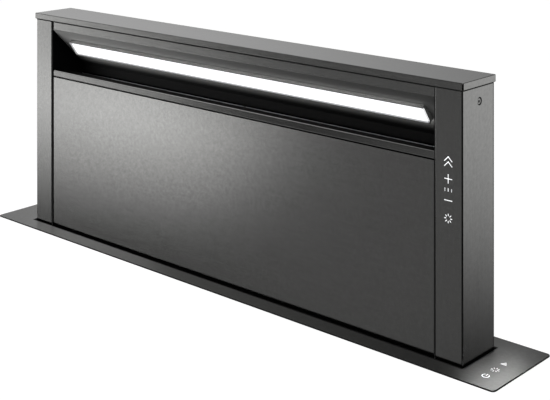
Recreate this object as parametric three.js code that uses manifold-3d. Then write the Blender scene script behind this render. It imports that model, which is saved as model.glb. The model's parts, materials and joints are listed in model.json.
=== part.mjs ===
// Downdraft vent: a tower that rises out of a worktop, draws cooking fumes in through the
// slot under its lit cap and sends them down to a blower under the worktop.
//
// Millimetres, +Z up, front towards -Y. The origin is the centre of the plate, on the
// surface of the worktop. The tower is modelled raised.

import * as THREE from 'three';
import { mergeVertices } from 'three/addons/utils/BufferGeometryUtils.js';
import Module from 'manifold-3d';

const wasm = await Module();
wasm.setup();

// ---------------------------------------------------------------- driving dimensions

// Clearances
const seat = 0.3; // between fixed pieces that bear on each other
const running = 0.3; // radial play of a shaft, rod or pin
const capPlaySide = 2; // cap to the end of the plate's slot, when lowered
const capPlayFront = 1.5; // cap to the long side of the slot

// Tower
const towerWidth = 765;
const towerDepth = 65;
const towerRise = 313.8; // top of the plate to the top of the cap
const towerTail = 95; // what stays below the worktop when raised
const towerSheet = 1.5;
const liftTravel = 313;
const capThickness = 8.5;
const capOverhang = 2;
const capEdgeRadius = 0.8;
const capCornerRadius = 2;
const columnWidth = 35;
const columnFrontRadius = 1.7;
const columnInnerRadius = 2;
const panelRecess = 1.8; // panel, sill and fascia behind the columns' fronts
const panelGap = 3; // dark line between the columns and the panel or fascia
const panelEdgeRadius = 1.7;
const panelFlange = 12;
const panelJoint = 0.8; // dark line between panel and sill
const fasciaHeight = 12.9;
const fasciaFlange = 13.5;
const openingHeight = 60;
const sillHeight = 10.4;
const sillDepth = 14;
const deflectorFlange = 10;
const sideScrewRadius = 4.8;
const sideScrewDrop = 25.8; // below the top of the cap
const sideScrewSetback = 2.2; // behind the middle of the side
const shaftHolePlay = 2; // round the shaft in the columns' inner walls

// Light in the sloped deflector
const lightLength = 640;
const lightWidth = 23.2;
const lightThickness = 2.5;
const lightTilt = 55.3; // degrees from level
const lightBack = 11.2; // behind the fascia's lower edge
const lightDrop = 18.4; // below the fascia's lower edge
const lightLip = 1.2;

// Filters
const filterTilt = 42; // degrees from level
const filterDrop = 34.9; // middle of the filters below the top of the front panel
const filterThickness = 9;
const filterBorder = 8;
const filterSplit = 3; // between the two filters
const filterFrameSheet = 2;
const filterFrameRim = 12;
const windowCorner = 3; // of the openings in the filter frame and the base frame
const filterToe = 9.5; // filters kept back from the front edge of their frame
const pleatPitch = 12;
const pleatHeight = 6;
const pleatSheet = 0.8;

// Lift: a shaft across the tower turns two pinions that climb fixed racks
const baseThickness = 4;
const baseRim = 10;
const bridgeWidth = 80;
const shaftRadius = 4;
const shaftHeight = 25; // over the base frame
const toothCount = 14;
const toothModule = 2;
const pressureAngle = 20; // degrees
const pinionAddendum = 2;
const rackAddendum = 1.6;
const toothBacklash = 0.24;
const rootClearance = 0.4;
const pinionWidth = 12;
const pinionHubLength = 10.6;
const pinionHubRadius = 8;
const pinionStandoff = 13.5; // column to the near face of the pinion
const rackBack = 12; // from pitch line to the back of the rack
const rackFoot = 7;
const rackOverrun = 20; // rack beyond the pinion's centre at each end
const gearboxWidth = 44;
const gearboxDepth = 44;
const gearboxTop = 20; // over the shaft
const gearboxBossRadius = 14;
const gearboxBossLength = 8;
const motorRadius = 18;
const motorLength = 75;
const motorRound = 3.6;
const motorNeckRadius = 7.5;
const motorNeckLength = 7.5;
const bearingRadius = 8;
const bearingFlangeRadius = 11;
const bearingFlange = 2;
const bearingDepth = 6;

// Guides
const rodRadius = 5;
const rodOffset = 19.5; // column to rod
const rodForward = 30; // in front of the tower's middle
const rodHead = 6; // top bracket below the worktop
const rodFootPast = 22; // rod past the lowered carriage
const bushWall = 2.2;
const bushCollar = 1.6; // its collar past its barrel
const carriageHeight = 38;
const carriageWall = 2.5;
const carriagePlate = 3;
const bracketThickness = 8;
const bracketWall = 4.5;
const bracketCorner = 7.6;

// Plate on the worktop
const plateThickness = 1.2;
const plateSideRim = 53.5;
const plateFrontRim = 25;
const plateCornerRadius = 5;
const slotCornerRadius = 3;
const gasketThickness = 0.7;
const gasketPlay = 0.1;
const gasketWidth = 9;
const gasketSetback = 2;

// Casing under the worktop
const casingSheet = 1.2;
const casingHeight = 650;
const sideSpace = 36.3; // column to casing, room for the racks and rods
const faceSpace = 16.3; // tower to the casing's front and back
const casingFlange = 12;
const bendInside = 0.8; // inner radius of the bends
const beadWidth = 24;
const beadDepth = 3;
const beadFirst = 150; // upper stiffening bead below the worktop
const beadPitch = 100;
const beadCount = 2;
const airWidth = 240;
const airHeight = 150;
const airAboveFloor = 125; // its middle over the blower's floor
const clampWidth = 30;
const clampHeight = 45;
const clampReach = 22;
const clampSheet = 2;
const clampSpread = 300;
const clampHoleRadius = 3.3;
const clampHoleReach = 13.2;
const worktopGrip = 42; // worktop surface to the clamps' flanges
const footReach = 30;
const footWidth = 40;
const footHeight = 60;
const footSheet = 2;

// Blower
const blowerWidth = 340;
const blowerHeight = 310;
const blowerDepth = 180;
const blowerAboveFeet = 10; // its underside over the casing's feet
const lidFlange = 8;
const wheelRadius = 92;
const wheelWidth = 96;
const wheelAboveFloor = 130; // its axis over the blower's floor
const wheelShift = 15; // its axis right of the middle
const bladeCount = 28;
const bladeDepth = 16;
const bladeThickness = 1.4;
const bladeTurn = 50; // degrees swept by each blade's arc
const bladeInset = 1; // tips inside the rings' edge
const discLap = 2; // disc into the blades
const wheelRing = 8;
const wheelRingDepth = 3;
const wheelDisc = 2.4;
const wheelHubRadius = 14;
const wheelHubLength = 14;
const wheelShaftRadius = 5;
const wheelShaftPast = 4; // past the hub
const wheelShaftInside = 34; // into the motor, from the disc's middle
const wheelPlay = 5;
const scrollWall = 2;
const scrollStart = 100; // radius at the tongue
const scrollEnd = 126; // radius where the outlet begins
const tongueAngle = 150; // degrees
const inletRadius = 78;
const voluteFootWidth = 42;
const fanMotorRadius = 42;
const fanMotorLength = 52;
const fanMotorRound = 8.4;
const fanMotorNose = 29.4;
const fanMotorCollar = 31.5;
const fanMotorGap = 2.3; // to the wheel's disc
const fanArmWidth = 14;
const fanArmThickness = 3;
const collarRadius = 75;
const collarWall = 1.5;
const collarLength = 92;
const collarFlange = 6;
const damperSetback = 18; // flap pin behind the collar's root
const damperPinRadius = 2;
const flapThickness = 1.2;
const flapPlay = 2;
const knuckleRadius = 3.8;
// Where each flap wraps the pin, as shares of its radius
const knuckleSpans = { front: [[-0.95, -0.45], [0.45, 0.95]], back: [[-0.4, 0.4]] };
const knuckleGap = 1;

// Controls
const controlWidth = 150;
const controlHeight = 90;
const controlDepth = 45;
const controlGap = 30; // blower to control box
const controlLow = 560;
const controlCorner = 4;
const controlLid = 9;
const controlGroove = 1;
const glandBore = 3.5;
const glandBodyRadius = 9;
const glandNutRadius = 7.5;
const glandTipRadius = 6;
const glandBodyLength = 5;
const glandNutLength = 9;
const glandTipLength = 4;
const boardThickness = 4;
const boardWidth = 19;
const boardLength = 50;
const keyBoardWidth = 26;
const keyBoardHeight = 70;
const keyBoardDrop = 151.8; // its lower edge below the top of the cap

// ---------------------------------------------------------------- derived places

const plateTop = gasketThickness + gasketPlay + plateThickness;
const plateLow = plateTop - plateThickness;
const towerSide = towerWidth / 2;
const towerFace = towerDepth / 2;
const slotWidth = towerWidth + 2 * (capOverhang + capPlaySide);
const slotDepth = towerDepth + 2 * (capOverhang + capPlayFront);
const plateWidth = slotWidth + 2 * plateSideRim;
const plateDepth = slotDepth + 2 * plateFrontRim;

const capTop = plateTop + towerRise;
const capLow = capTop - capThickness;
const openingTop = capLow - seat - fasciaHeight;
const openingLow = openingTop - openingHeight;
const sillLow = openingLow - sillHeight;
const panelTop = sillLow - panelJoint;
const tailLow = -towerTail;
const baseTop = tailLow + baseThickness;
const columnInner = towerSide - columnWidth;
const panelFace = -towerFace + panelRecess;
const rearFace = towerFace - towerSheet; // inner face of the rear panel
const shaftLevel = baseTop + shaftHeight;

const pitchRadius = toothModule * toothCount / 2;
const toothPitch = Math.PI * toothModule;
const pinionNear = towerSide + pinionStandoff;
const pinionFar = pinionNear + pinionWidth;
const rodX = towerSide + rodOffset;
const casingSide = towerSide + sideSpace + casingSheet;
const casingFace = towerFace + faceSpace + casingSheet;
const casingInnerSide = casingSide - casingSheet;
const casingInnerFace = casingFace - casingSheet;
const carriageLow = tailLow + bearingFlange;
const rodLow = carriageLow - liftTravel - rodFootPast;

const blowerFloor = -casingHeight + blowerAboveFeet;
const wheelLevel = blowerFloor + wheelAboveFloor;
const airLevel = blowerFloor + airAboveFloor;
const blowerBack = -casingFace - seat;
const blowerMid = blowerBack - blowerDepth / 2;
const wheelHalf = wheelWidth / 2;
const scrollHalf = wheelHalf + wheelPlay;

// ---------------------------------------------------------------- finishes

const finish = (color, roughness, metalness) =>
  new THREE.MeshStandardMaterial({ color, roughness, metalness });
const blackSteel = () => finish('#5a5a59', 0.34, 0.9);
const plateSteel = () => finish('#676766', 0.3, 0.9);
const zincSheet = () => finish('#a9adb0', 0.45, 0.9);
const brightSteel = () => finish('#c4c6c8', 0.25, 1);
const aluminium = () => finish('#b9bcbf', 0.4, 0.9);
const blackPlastic = () => finish('#1d1e1f', 0.55, 0);
const acetal = () => finish('#e8e6de', 0.5, 0);
const brass = () => finish('#b8975a', 0.35, 0.9);
const rubber = () => finish('#161616', 0.85, 0);
const boardGreen = () => finish('#1f4a34', 0.6, 0);
const opalLens = () => finish('#f6f8fa', 0.4, 0);

// ---------------------------------------------------------------- shaping helpers

const axisX = new THREE.Vector3(1, 0, 0);
const axisY = new THREE.Vector3(0, 1, 0);
const axisZ = new THREE.Vector3(0, 0, 1);
// An outline is drawn in (y, z) for a run along x, in (x, z) for y and in (x, y) for z.
const runs = {
  x: new THREE.Matrix4().makeBasis(axisY, axisZ, axisX),
  y: new THREE.Matrix4().makeBasis(axisX, axisZ, axisY.clone().negate()),
  z: new THREE.Matrix4(),
};

function vectors(outline) {
  return outline.map(([a, b]) => new THREE.Vector2(a, b));
}

function extrude(outline, axis, from, to, holes = []) {
  const shape = new THREE.Shape(vectors(outline));
  for (const hole of holes) shape.holes.push(new THREE.Path(vectors(hole)));
  const options = { depth: to - from, bevelEnabled: false };
  const geometry = new THREE.ExtrudeGeometry(shape, options);
  geometry.translate(0, 0, axis === 'y' ? -to : from);
  return geometry.applyMatrix4(runs[axis]);
}

function block(x0, x1, y0, y1, z0, z1) {
  const geometry = new THREE.BoxGeometry(Math.abs(x1 - x0), Math.abs(y1 - y0), Math.abs(z1 - z0));
  return geometry.translate((x0 + x1) / 2, (y0 + y1) / 2, (z0 + z1) / 2);
}

function rectangle(halfA, halfB, atA = 0, atB = 0) {
  return [
    [atA - halfA, atB - halfB],
    [atA + halfA, atB - halfB],
    [atA + halfA, atB + halfB],
    [atA - halfA, atB + halfB],
  ];
}

function circle(radius, sides = 16, atA = 0, atB = 0) {
  return Array.from({ length: sides }, (_, i) => {
    const angle = 2 * Math.PI * i / sides;
    return [atA + radius * Math.cos(angle), atB + radius * Math.sin(angle)];
  });
}

function rod(radius, axis, from, to, atA = 0, atB = 0, sides = 16) {
  return extrude(circle(radius, sides, atA, atB), axis, from, to);
}

// Corners given as [a, b, radius] become arcs; the ends of an open path stay as they are.
function rounded(path, steps = 3, open = false) {
  return path.flatMap(([a, b, radius], i) => {
    if (!radius || (open && (i === 0 || i === path.length - 1))) return [[a, b]];
    const corner = new THREE.Vector2(a, b);
    const [before, after] = [path.at(i - 1), path[(i + 1) % path.length]].map(([c, d]) =>
      new THREE.Vector2(c, d).sub(corner).normalize());
    const half = before.angleTo(after) / 2;
    const middle = before.clone().add(after).normalize();
    const centre = corner.clone().addScaledVector(middle, radius / Math.sin(half));
    const start = corner.clone().addScaledVector(before, radius / Math.tan(half)).sub(centre);
    const end = corner.clone().addScaledVector(after, radius / Math.tan(half)).sub(centre);
    const sweep = Math.atan2(start.cross(end), start.dot(end));
    return Array.from({ length: steps + 1 }, (_, k) => {
      const point = start.clone().rotateAround(new THREE.Vector2(), sweep * k / steps);
      return [centre.x + point.x, centre.y + point.y];
    });
  });
}

function roundedRectangle(halfA, halfB, radius, atA = 0, atB = 0) {
  return rounded(rectangle(halfA, halfB, atA, atB).map(([a, b]) => [a, b, radius]));
}

// The section of a folded sheet: its face follows the path, its thickness lies to the left.
function folded(path, thickness) {
  const face = vectors(rounded(path, 3, true));
  const back = face.map((point, i) => {
    const into = i > 0 ? point.clone().sub(face[i - 1]).normalize() : null;
    const out = i < face.length - 1 ? face[i + 1].clone().sub(point).normalize() : null;
    const first = into ?? out;
    const second = out ?? into;
    const left = new THREE.Vector2(-first.y - second.y, first.x + second.x).normalize();
    const mitre = left.dot(new THREE.Vector2(-first.y, first.x));
    return point.clone().addScaledVector(left, thickness / mitre);
  });
  return [...face, ...back.reverse()].map((point) => [point.x, point.y]);
}

// A turned piece from its half section, given as [radius, distance along the axis].
function turned(section, axis, sides = 16) {
  let area = 0;
  section.forEach(([radius, along], i) => {
    const [nextRadius, nextAlong] = section[(i + 1) % section.length];
    area += radius * nextAlong - nextRadius * along;
  });
  const onAxis = section[0][0] === 0;
  const ordered = area > 0 ? section : [...section].reverse();
  const profile = onAxis ? ordered : [...ordered, ordered[0]];
  const geometry = new THREE.LatheGeometry(vectors(profile), sides);
  if (axis === 'x') geometry.rotateZ(-Math.PI / 2);
  if (axis === 'z') geometry.rotateX(Math.PI / 2);
  return geometry;
}

function toSolid(geometry) {
  const bare = geometry.clone();
  bare.deleteAttribute('normal');
  bare.deleteAttribute('uv');
  const merged = mergeVertices(bare);
  const mesh = new wasm.Mesh({
    numProp: 3,
    vertProperties: merged.attributes.position.array,
    triVerts: merged.index.array,
  });
  return new wasm.Manifold(mesh);
}

// Joins the first list of geometries into one body and cuts the second list from it.
function shaped(joined, cuts = []) {
  let body = joined.map(toSolid).reduce((whole, piece) => whole.add(piece));
  body = cuts.map(toSolid).reduce((whole, piece) => whole.subtract(piece), body);
  const mesh = body.getMesh();
  const geometry = new THREE.BufferGeometry();
  geometry.setAttribute('position', new THREE.BufferAttribute(mesh.vertProperties, 3));
  geometry.setIndex(new THREE.BufferAttribute(mesh.triVerts, 1));
  geometry.computeVertexNormals();
  return geometry;
}

function piece(group, name, geometry, material) {
  const mesh = new THREE.Mesh(geometry, material);
  mesh.name = name;
  group.add(mesh);
  return mesh;
}

const sides = [['left', -1], ['right', 1]];
const span = (side, a, b) => [Math.min(side * a, side * b), Math.max(side * a, side * b)];

// ---------------------------------------------------------------- tower

const vent = new THREE.Group();
const tower = new THREE.Group();
vent.add(tower);

function buildCap() {
  const shape = new THREE.Shape(vectors(roundedRectangle(
    towerSide + capOverhang, towerFace + capOverhang, capCornerRadius)));
  const geometry = new THREE.ExtrudeGeometry(shape, {
    depth: capThickness - 2 * capEdgeRadius,
    bevelThickness: capEdgeRadius,
    bevelSize: capEdgeRadius,
    bevelOffset: -capEdgeRadius,
    bevelSegments: 2,
  });
  const cap = piece(tower, 'top_cap', geometry, blackSteel());
  cap.position.z = capLow + capEdgeRadius;
}

// Each column is a channel folded from one sheet and open to the rear.
function buildColumn(name, side) {
  const path = [
    [columnInner, rearFace - seat],
    [columnInner, -towerFace, columnInnerRadius],
    [towerSide, -towerFace, columnFrontRadius],
    [towerSide, rearFace - seat],
  ].map(([x, y, radius]) => [side * x, y, radius]);
  const channel = extrude(folded(path, side * towerSheet), 'z', baseTop + seat, capLow - seat);
  const outerWall = span(side, towerSide - 2 * towerSheet, towerSide + towerSheet);
  const innerWall = span(side, columnInner - towerSheet, columnInner + 2 * towerSheet);
  const holes = [
    rod(bearingRadius + seat, 'x', ...outerWall, 0, shaftLevel),
    rod(shaftRadius + shaftHolePlay, 'x', ...innerWall, 0, shaftLevel),
    rod(sideScrewRadius, 'x', ...outerWall, sideScrewSetback, capTop - sideScrewDrop),
  ];
  piece(tower, name, shaped([channel], holes), blackSteel());
}

function buildFrontPanel() {
  const halfWidth = columnInner - panelGap;
  const back = panelFace + panelFlange;
  const path = [
    [-halfWidth, back],
    [-halfWidth, panelFace, panelEdgeRadius],
    [halfWidth, panelFace, panelEdgeRadius],
    [halfWidth, back],
  ];
  const tray = extrude(folded(path, towerSheet), 'z', baseTop + seat, panelTop);
  const topFlange = block(-halfWidth + towerSheet / 2, halfWidth - towerSheet / 2,
    panelFace + towerSheet / 2, back, panelTop - towerSheet, panelTop);
  piece(tower, 'front_panel', shaped([tray, topFlange]), blackSteel());
}

function buildRearPanel() {
  const sheet = block(-towerSide, towerSide, rearFace, towerFace, baseTop + seat, capLow - seat);
  piece(tower, 'rear_panel', sheet, blackSteel());
}

function buildSill() {
  const back = panelFace + sillDepth;
  const path = [
    [back, sillLow],
    [back, openingLow, columnInnerRadius],
    [panelFace, openingLow, columnInnerRadius],
    [panelFace, sillLow, columnInnerRadius],
    [back - 2 * towerSheet - seat, sillLow],
  ];
  const halfWidth = columnInner - seat;
  piece(tower, 'sill_rail', extrude(folded(path, towerSheet), 'x', -halfWidth, halfWidth),
    blackSteel());
}

// One sheet: flange under the cap, fascia, slope down to the rear and a flange on the rear.
const slopeRun = rearFace - seat - panelFace;
const slopeFoot = openingTop - slopeRun;
function buildDeflector() {
  const path = [
    [panelFace + fasciaFlange, openingTop + fasciaHeight],
    [panelFace, openingTop + fasciaHeight, columnInnerRadius],
    [panelFace, openingTop, columnInnerRadius],
    [rearFace - seat - towerSheet, slopeFoot + towerSheet, columnInnerRadius],
    [rearFace - seat - towerSheet, slopeFoot - deflectorFlange],
  ];
  const halfWidth = columnInner - panelGap;
  piece(tower, 'light_deflector', extrude(folded(path, towerSheet), 'x', -halfWidth, halfWidth),
    blackSteel());
}

// The light bar is a wedge on the slope; its lens is let into the wedge's face.
function buildLight() {
  const tilt = THREE.MathUtils.degToRad(lightTilt);
  const top = new THREE.Vector2(panelFace + lightBack, openingTop - lightDrop);
  const along = new THREE.Vector2(Math.cos(tilt), -Math.sin(tilt));
  const inward = new THREE.Vector2(Math.sin(tilt), Math.cos(tilt));
  const onFace = (distance, depth) => {
    const point = top.clone().addScaledVector(along, distance).addScaledVector(inward, depth);
    return [point.x, point.y];
  };
  const slopeSum = panelFace + openingTop - seat * Math.SQRT2; // y + z all along the slope
  const onSlope = (distance) => {
    const [y, z] = onFace(distance, 0);
    return onFace(distance, (slopeSum - y - z) / (inward.x + inward.y));
  };
  const faceEnd = lightWidth + lightLip;
  const pocket = lightThickness + seat;
  const channel = [
    onFace(-lightLip, 0),
    onFace(-seat, 0),
    onFace(-seat, pocket),
    onFace(lightWidth + seat, pocket),
    onFace(lightWidth + seat, 0),
    onFace(faceEnd, 0),
    onSlope(faceEnd),
    onSlope(-lightLip),
  ];
  const lens = [
    onFace(0, -seat),
    onFace(lightWidth, -seat),
    onFace(lightWidth, lightThickness),
    onFace(0, lightThickness),
  ];
  const half = lightLength / 2;
  piece(tower, 'light_channel', extrude(channel, 'x', -half, half), blackSteel());
  piece(tower, 'light_lens', extrude(lens, 'x', -half + seat, half - seat), opalLens());
}

// Two pleated grease filters lie on a frame that slants across the tower.
function buildFilters() {
  const tilt = THREE.MathUtils.degToRad(filterTilt);
  const front = panelFace + towerSheet + seat;
  const rear = rearFace - seat;
  const nest = new THREE.Group();
  nest.position.set(0, (front + rear) / 2, panelTop - filterDrop);
  nest.rotation.x = tilt;
  tower.add(nest);

  const half = ((rear - front) / 2 - filterFrameSheet / 2 * Math.sin(tilt)) / Math.cos(tilt);
  const halfLength = columnInner - panelGap - towerSheet - seat;
  const windowHalf = (halfLength - 1.5 * filterFrameRim) / 2;
  const windowAt = windowHalf + filterFrameRim / 2;
  const windows = [-1, 1].map((side) => extrude(
    roundedRectangle(windowHalf, half - filterFrameRim, windowCorner, side * windowAt, 0),
    'z', -filterFrameSheet, filterFrameSheet));
  const sheet = extrude(rectangle(halfLength, half), 'z', -filterFrameSheet / 2,
    filterFrameSheet / 2);
  piece(nest, 'filter_frame', shaped([sheet], windows), zincSheet());

  const low = filterFrameSheet / 2 + seat;
  const middle = filterToe / 2;
  const depthHalf = half - middle;
  const widthHalf = (halfLength - filterSplit) / 2;
  for (const [name, side] of sides) {
    const at = side * (filterSplit / 2 + widthHalf);
    const hole = rectangle(widthHalf - filterBorder, depthHalf - filterBorder, at, middle);
    const border = extrude(rectangle(widthHalf, depthHalf, at, middle), 'z', low,
      low + filterThickness, [hole]);
    const coreHalf = widthHalf - filterBorder / 2;
    const pleats = Math.round(2 * coreHalf / pleatPitch);
    const ridge = low + (filterThickness - pleatHeight) / 2;
    const zigzag = Array.from({ length: 2 * pleats + 1 }, (_, i) =>
      [at - coreHalf + i * coreHalf / pleats, ridge + (i % 2) * (pleatHeight - pleatSheet)]);
    const core = extrude(folded(zigzag, pleatSheet), 'y', middle - depthHalf + filterBorder / 2,
      middle + depthHalf - filterBorder / 2);
    piece(nest, `filter_${name}`, shaped([border, core]), aluminium());
  }
}

function buildBaseFrame() {
  const windowHalf = (columnInner - baseRim - bridgeWidth / 2) / 2;
  const windowAt = bridgeWidth / 2 + windowHalf;
  const windows = [-1, 1].map((side) => extrude(
    roundedRectangle(windowHalf, towerFace - baseRim, windowCorner, side * windowAt, 0),
    'z', tailLow - seat, baseTop + seat));
  const sheet = extrude(roundedRectangle(towerSide, towerFace, columnFrontRadius), 'z',
    tailLow, baseTop);
  piece(tower, 'base_frame', shaped([sheet], windows), zincSheet());
}

function buildLiftDrive() {
  const low = baseTop + seat - shaftLevel;
  const outline = rounded([
    [-gearboxDepth / 2, low],
    [gearboxDepth / 2, low],
    [gearboxDepth / 2, gearboxTop, gearboxTop / 2],
    [-gearboxDepth / 2, gearboxTop, gearboxTop / 2],
  ]);
  const half = gearboxWidth / 2;
  const bossEnd = half + gearboxBossLength;
  const gearbox = shaped(
    [extrude(outline, 'x', -half, half), rod(gearboxBossRadius, 'x', -bossEnd, bossEnd)],
    [rod(shaftRadius + running, 'x', -bossEnd - seat, bossEnd + seat)]);
  piece(tower, 'lift_gearbox', gearbox, aluminium()).position.z = shaftLevel;

  const motorLow = gearboxTop + seat;
  const motorShoulder = motorLow + motorLength - motorNeckLength;
  const section = [
    [0, motorLow],
    [motorRadius - motorRound, motorLow],
    [motorRadius, motorLow + motorRound],
    [motorRadius, motorShoulder - motorRound],
    [motorRadius - motorRound, motorShoulder],
    [motorNeckRadius, motorShoulder],
    [motorNeckRadius, motorShoulder + motorNeckLength],
    [0, motorShoulder + motorNeckLength],
  ];
  piece(tower, 'lift_motor', turned(section, 'z'), brightSteel()).position.z = shaftLevel;
}

function buildBearing(name, side) {
  const face = towerSide + seat;
  const section = [
    [shaftRadius + running, towerSide - bearingDepth],
    [bearingRadius, towerSide - bearingDepth],
    [bearingRadius, face],
    [bearingFlangeRadius, face],
    [bearingFlangeRadius, face + bearingFlange],
    [shaftRadius + running, face + bearingFlange],
  ].map(([radius, along]) => [radius, side * along]);
  piece(tower, name, turned(section, 'x'), acetal()).position.z = shaftLevel;
}

// A carriage stands off each column and runs on a guide rod by a plain bush.
function buildCarriage(side, name, bushName) {
  const bore = rodRadius + running + bushWall;
  const eye = bore + seat + carriageWall;
  const top = carriageLow + carriageHeight;
  const near = side * (towerSide + seat);
  const plate = block(near, near + side * carriagePlate, -towerFace, -rodForward + eye,
    carriageLow, top);
  const web = block(near, side * (rodX - bore / 2), -rodForward - eye / 2, -rodForward + eye / 2,
    carriageLow, top);
  const barrel = rod(eye, 'z', carriageLow, top, side * rodX, -rodForward);
  const hole = rod(bore + seat, 'z', carriageLow - seat, top + seat, side * rodX, -rodForward);
  piece(tower, name, shaped([plate, web, barrel], [hole]), aluminium());

  const section = [
    [rodRadius + running, carriageLow - bearingFlange],
    [bore + bushCollar, carriageLow - bearingFlange],
    [bore + bushCollar, carriageLow - seat],
    [bore, carriageLow - seat],
    [bore, top],
    [rodRadius + running, top],
  ];
  piece(tower, bushName, turned(section, 'z'), acetal()).position.set(side * rodX, -rodForward, 0);
}

function buildKeyBoard() {
  const x = towerSide - columnWidth / 2;
  const face = -towerFace + towerSheet + seat;
  const board = block(x - keyBoardWidth / 2, x + keyBoardWidth / 2, face, face + boardThickness,
    capTop - keyBoardDrop, capTop - keyBoardDrop + keyBoardHeight);
  piece(tower, 'tower_key_board', board, boardGreen());
}

buildCap();
for (const [name, side] of sides) buildColumn(`column_${name}`, side);
buildFrontPanel();
buildRearPanel();
buildSill();
buildDeflector();
buildLight();
buildFilters();
buildBaseFrame();
buildLiftDrive();
for (const [name, side] of sides) {
  buildBearing(`shaft_bearing_${name}`, side);
  buildCarriage(side, `carriage_${name}`, `guide_bush_${name}`);
}
buildKeyBoard();

// ---------------------------------------------------------------- shaft, pinions and racks

const driveShaft = new THREE.Group();
driveShaft.position.z = shaftLevel;
vent.add(driveShaft);

// Involute teeth, one of them centred on +Y, where the rack meets the pinion.
function pinionOutline() {
  const pressure = THREE.MathUtils.degToRad(pressureAngle);
  const involute = (angle) => Math.tan(angle) - angle;
  const baseRadius = pitchRadius * Math.cos(pressure);
  const tipRadius = pitchRadius + pinionAddendum;
  const rootRadius = pitchRadius - rackAddendum - rootClearance;
  const halfTooth = Math.PI / (2 * toothCount) - toothBacklash / (4 * pitchRadius);
  const flankSteps = 3;
  const outline = [];
  for (let tooth = 0; tooth < toothCount; tooth += 1) {
    const middle = 2 * Math.PI * tooth / toothCount;
    const flank = [[rootRadius, halfTooth + involute(pressure)]];
    for (let step = 0; step <= flankSteps; step += 1) {
      const radius = baseRadius + (tipRadius - baseRadius) * step / flankSteps;
      const angle = Math.acos(Math.min(1, baseRadius / radius));
      flank.push([radius, halfTooth + involute(pressure) - involute(angle)]);
    }
    const rising = flank.map(([radius, turn]) => [radius, middle - turn]);
    const falling = flank.map(([radius, turn]) => [radius, middle + turn]).reverse();
    for (const [radius, angle] of [...rising, ...falling]) {
      outline.push([radius * Math.cos(angle), radius * Math.sin(angle)]);
    }
  }
  return outline;
}

function buildPinion(name, side) {
  const bore = circle(shaftRadius + running);
  const gear = extrude(pinionOutline(), 'x', ...span(side, pinionNear, pinionFar), [bore]);
  const hub = extrude(circle(pinionHubRadius), 'x',
    ...span(side, pinionNear - pinionHubLength, pinionNear + pinionWidth / 2), [bore]);
  piece(driveShaft, name, shaped([gear, hub]), brass());
}

// Straight-sided teeth facing the pinion, on a bar with a foot against the casing's end.
function buildRack(name, side) {
  const pressure = Math.tan(THREE.MathUtils.degToRad(pressureAngle));
  const tip = pitchRadius - rackAddendum;
  const root = pitchRadius + pinionAddendum + rootClearance;
  const halfPitchTooth = toothPitch / 4 - toothBacklash / 4;
  const halfTip = halfPitchTooth - rackAddendum * pressure;
  const halfRoot = halfPitchTooth + (root - pitchRadius) * pressure;
  const high = rackOverrun;
  const low = -liftTravel - rackOverrun;
  const outline = [[pitchRadius + rackBack, low], [root, low]];
  const first = Math.ceil((low + halfRoot) / toothPitch - 0.5);
  const last = Math.floor((high - halfRoot) / toothPitch - 0.5);
  for (let tooth = first; tooth <= last; tooth += 1) {
    const middle = (tooth + 0.5) * toothPitch;
    outline.push([root, middle - halfRoot], [tip, middle - halfTip]);
    outline.push([tip, middle + halfTip], [root, middle + halfRoot]);
  }
  outline.push([root, high], [pitchRadius + rackBack, high]);
  const bar = extrude(outline, 'x', ...span(side, pinionNear, pinionFar));
  const foot = block(side * (pinionFar - pinionWidth / 2), side * (casingInnerSide - seat),
    pitchRadius + rackBack - rackFoot, pitchRadius + rackBack, low, high);
  piece(casing, name, shaped([bar, foot]), brightSteel()).position.z = shaftLevel;
}

const shaftEnd = pinionFar + shaftRadius;
piece(driveShaft, 'cross_shaft', rod(shaftRadius, 'x', -shaftEnd, shaftEnd), brightSteel());
for (const [name, side] of sides) buildPinion(`pinion_${name}`, side);

// ---------------------------------------------------------------- casing and plate

const casing = new THREE.Group();
vent.add(casing);

function buildPlate() {
  const slot = roundedRectangle(slotWidth / 2, slotDepth / 2, slotCornerRadius);
  const outline = roundedRectangle(plateWidth / 2, plateDepth / 2, plateCornerRadius);
  piece(casing, 'worktop_plate', extrude(outline, 'z', plateLow, plateTop, [slot]), plateSteel());

  const outerX = plateWidth / 2 - gasketSetback;
  const outerY = plateDepth / 2 - gasketSetback;
  const ring = roundedRectangle(outerX, outerY, plateCornerRadius - gasketSetback);
  const inside = rectangle(outerX - gasketWidth, outerY - gasketWidth);
  piece(casing, 'plate_gasket', extrude(ring, 'z', 0, gasketThickness, [inside]), rubber());

  const top = plateLow - seat;
  const x = casingInnerSide - seat - boardWidth / 2;
  const front = -casingFace + casingFlange + seat;
  piece(casing, 'plate_key_board', block(x - boardWidth / 2, x + boardWidth / 2,
    front, front + boardLength, top - boardThickness, top), boardGreen());
}

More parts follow.
